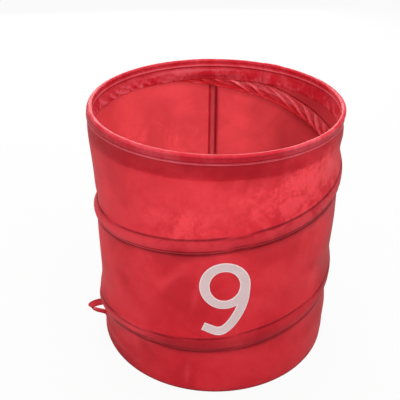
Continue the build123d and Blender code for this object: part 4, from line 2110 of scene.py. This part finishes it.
@dataclass
class Stitching(Piece):
    """Rows of sewing thread, each stitch a short bead that lies half sunk in the cloth.

    Attributes:
        wall, hem: The pieces that are sewn.
        thickness, gap: The thread's thickness, and the gap between stitches.
        uneven, seed: The range of the stitches' lengths, and which draw.
        under_hem, foot_row: How far below the rim's top the rows end, and how high the lowest one is.
        lap_shares: Where the lap's two rows lie across it.
    """

    wall: WallPanel
    hem: RimHem
    thickness: float = 0.42 * MM
    gap: float = 0.9 * MM
    uneven: Pair = (0.85, 1.1)
    seed: int = 7
    under_hem: float = 12.5 * MM
    foot_row: float = 1.6 * MM
    lap_shares: Pair = (0.12, 0.88)

    def tree(self) -> GeometryTree:
        """The rule of a seam: one bead at every step along a line.

        Returns:
            The tree.
        """
        tree = GeometryTree("stitch_rule")
        pitch, gap, thick = (tree.input(name) for name in ("Pitch", "Gap", "Thickness"))
        seed = tree.input("Seed", "Int")
        line = tree.out("GeometryNodeMeshToCurve", 0, inputs={0: tree.geometry})
        steps = tree.node("GeometryNodeCurveToPoints", {"mode": "LENGTH"}, {"Curve": line, "Length": pitch})
        bead = tree.out("GeometryNodeMeshUVSphere", 0, inputs={"Segments": 6, "Rings": 5, "Radius": 1.0})
        least, most = self.uneven
        inputs = {2: least, 3: most, "Seed": seed}
        uneven = tree.out("FunctionNodeRandomValue", 1, settings={"data_type": "FLOAT"}, inputs=inputs)
        half = (pitch - gap) * 0.5
        size = tree.join(thick * 0.5 * uneven, thick * 0.5, half * uneven)
        points, rotation = steps.outputs["Points"], steps.outputs["Rotation"]
        inputs = {"Points": points, "Instance": bead, "Rotation": rotation, "Scale": size}
        tree.close(tree.out("GeometryNodeInstanceOnPoints", 0, inputs=inputs))
        return tree

    def rows_mesh(self, name: str, rows: Sequence[Array]) -> Mesh:
        """Lines of points as one mesh of edges.

        Args:
            name: The mesh's name.
            rows: The lines.

        Returns:
            The mesh.
        """
        points, edges = [], []
        for row in rows:
            first = len(points)
            points += row.tolist()
            edges += [(first + i, first + i + 1) for i in range(len(row) - 1)]
        mesh = bpy.data.meshes.new(name)
        mesh.from_pydata(points, edges, [])
        return mesh

    def wall_row(self, bearing: Array, height: Array) -> Array:
        """A row of points on the wall's outside."""
        radius = self.shape.radius(bearing, height) + self.shape.wrinkles(bearing, height)
        return around(bearing, radius, height)

    def wall_rows(self) -> list[Array]:
        """The rows on the wall: both seams of the spiral's tape, the lap up the back and the foot.

        Returns:
            The rows' points.
        """
        path, frame = self.shape.path, self.frame
        rows = []
        for side in (1.0, -1.0):
            bearing = np.linspace(path.start - 20, path.end, 1100)
            height = path.height(bearing) + side * path.half_width(bearing)
            shown = (height < frame.rim_top - self.under_hem) & (height > frame.floor + 3.2 * MM)
            rows.append(self.wall_row(bearing[shown], height[shown]))
        turn = np.linspace(0.0, TURN, 700)
        rows.append(self.wall_row(turn, np.full(turn.shape, frame.floor + self.foot_row)))
        height = np.linspace(frame.floor + 3 * MM, frame.rim_top - self.under_hem, 260)
        for share in self.lap_shares:
            points = self.wall_row(np.full(height.shape, self.wall.lap_start + self.wall.lap * share), height)
            points[:, :2] *= 1.0 + 0.26 * MM / frame.radius
            rows.append(points)
        return rows

    def rim_rows(self) -> list[Array]:
        """The rows on the hem: one outside and one inside.

        Returns:
            The rows' points.
        """
        frame = self.frame
        turn = np.linspace(0.0, TURN, 700)
        low = frame.rim_top - self.hem.outer_depth
        outer = frame.radius + 0.85 * MM - self.hem.flare * facing(turn)
        inner = np.full(turn.shape, frame.ring_line - 0.2 * MM)
        return [
            around(turn, outer, np.full(turn.shape, low + 2.0 * MM)),
            around(turn, inner, np.full(turn.shape, frame.rim_top - self.hem.inner_stitch)),
        ]

    def build(self) -> list[Object]:
        """Builds the stitches of the wall and of the rim.

        Returns:
            The two pieces.
        """
        tree = self.tree()
        made = []
        for name, rows, seam, thread, body, collapses in (
            ("wall_stitches", self.wall_rows(), Seam.WALL, WALL_THREAD, "base", True),
            ("rim_stitches", self.rim_rows(), Seam.RIM, RIM_THREAD, "rim", False),
        ):
            values = {
                "Pitch": seam.value,
                "Gap": self.gap,
                "Thickness": self.thickness,
                "Seed": self.seed,
                "Finish": self.workshop.get(thread),
            }
            piece = tree.build(name, values, self.rows_mesh(name, rows))
            slot = "wall_cloth" if body == "base" else "hem_cloth"
            made.append(self.settle(piece, body, slot, collapses=collapses))
        return made


# ---- Studio ----


@dataclass(frozen=True)
class Lamp:
    """A soft rectangular lamp that points at the basket."""

    name: str
    place: tuple[float, float, float]
    size: float
    power: float


@dataclass
class Studio:
    """The ground, the lamps, the world and the camera."""

    workshop: Workshop
    ground_size: float = 6.0
    aim: tuple[float, float, float] = (0.0, 0.0, 0.16)
    lamps: tuple[Lamp, ...] = (
        Lamp("key", (0.55, -0.85, 1.15), 0.7, 6.5),
        Lamp("fill", (-1.3, -1.1, 0.7), 1.0, 7.0),
        Lamp("top", (0.1, -0.1, 1.5), 0.8, 5.0),
        Lamp("back", (-0.2, 1.5, 0.7), 1.2, 24.5),
    )
    world_strength: float = 0.5
    camera_place: tuple[float, float, float] = (0.0, -0.7103, 0.5991)
    yaw: float = -1.49
    pitch: float = 30.32
    roll: float = 0.34
    focal: float = 57.58
    sensor: float = 36.0

    def build_ground(self) -> None:
        """Builds the plain ground."""
        half = self.ground_size / 2
        corners = [(-half, -half, 0.0), (half, -half, 0.0), (half, half, 0.0), (-half, half, 0.0)]
        mesh = bpy.data.meshes.new("ground")
        mesh.from_pydata(corners, [], [(0, 1, 2, 3)])
        mesh.materials.append(self.workshop.get(GROUND))
        link("ground", mesh)

    def build_lamps(self) -> None:
        """Builds the soft lamps."""
        for lamp in self.lamps:
            light = bpy.data.lights.new(lamp.name, "AREA")
            light.shape = "SQUARE"
            light.size = lamp.size
            light.energy = lamp.power
            holder = bpy.data.objects.new(lamp.name, light)
            bpy.context.scene.collection.objects.link(holder)
            holder.location = lamp.place
            aim = Vector(self.aim) - Vector(lamp.place)
            holder.rotation_euler = aim.to_track_quat("-Z", "Y").to_euler()

    def build_world(self) -> None:
        """Builds the even light from all round, white to the camera."""
        world = bpy.data.worlds.new("studio")
        bpy.context.scene.world = world
        world.use_nodes = True
        world.node_tree.nodes.clear()
        tree = Tree(world.node_tree)
        seen = tree.rays("Is Camera Ray", "Is Transmission Ray")
        strength = self.world_strength + seen * (1.0 - self.world_strength)
        light = tree.node("ShaderNodeBackground", inputs={"Color": WHITE, "Strength": strength})
        tree.node("ShaderNodeOutputWorld", inputs={"Surface": light.outputs[0]})

    def build_camera(self) -> None:
        """Builds the camera and makes it the scene's."""
        yaw, pitch, roll = (math.radians(angle) for angle in (self.yaw, self.pitch, self.roll))
        ahead = Vector(
            (math.sin(yaw) * math.cos(pitch), math.cos(yaw) * math.cos(pitch), -math.sin(pitch))
        )
        level = ahead.cross(Vector((0, 0, 1))).normalized()
        upright = level.cross(ahead)
        right = level * math.cos(roll) + upright * math.sin(roll)
        up = upright * math.cos(roll) - level * math.sin(roll)
        lens = bpy.data.cameras.new("camera")
        lens.lens = self.focal
        lens.sensor_width = self.sensor
        camera = bpy.data.objects.new("camera", lens)
        bpy.context.scene.collection.objects.link(camera)
        turn = Matrix((right, up, -ahead)).transposed().to_4x4()
        camera.matrix_world = Matrix.Translation(Vector(self.camera_place)) @ turn
        bpy.context.scene.camera = camera

    def build(self) -> None:
        """Builds the whole studio."""
        self.build_ground()
        self.build_lamps()
        self.build_world()
        self.build_camera()
        bpy.context.scene.view_settings.view_transform = "Standard"


def dress_rings(nodes: Mapping[str, Object], workshop: Workshop) -> None:
    """Gives the CAD rings and their sleeves their metal finishes.

    Args:
        nodes: The CAD nodes by name.
        workshop: Where the finishes come from.
    """
    for name, finish in (
        ("rim_ring", SPRING_STEEL),
        ("base_ring", SPRING_STEEL),
        ("rim_sleeve", CRIMP_STEEL),
        ("base_sleeve", CRIMP_STEEL),
    ):
        nodes[name].data.materials.clear()
        nodes[name].data.materials.append(workshop.get(finish))
        LOG.info("%s: finished as %s", name, finish.name)


def main() -> None:
    """Builds every piece in order."""
    logging.basicConfig(level=logging.INFO, format="%(name)s: %(message)s")
    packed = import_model()
    frame = Frame.read()
    path = SpiralPath(top=frame.spiral_top, bottom=frame.spiral_bottom)
    shape = WallShape(frame, path)
    workshop = Workshop()
    floor = FloorPanel(shape, workshop)
    wall = WallPanel(shape, workshop)
    spring = SpiralSpring(shape, workshop)
    hem = RimHem(shape, workshop)
    floor.build_disc()
    floor.build_tape()
    wall.build()
    spring.build_wire()
    spring.build_caps()
    spring.build_tape()
    hem.build()
    TieLoop(shape, workshop).build()
    NumberFilm(shape, workshop).build(packed["nodes"]["number_patch"])
    Stitching(shape, workshop, wall, hem).build()
    dress_rings(packed["nodes"], workshop)
    Studio(workshop).build()


if __name__ == "__main__":
    main()
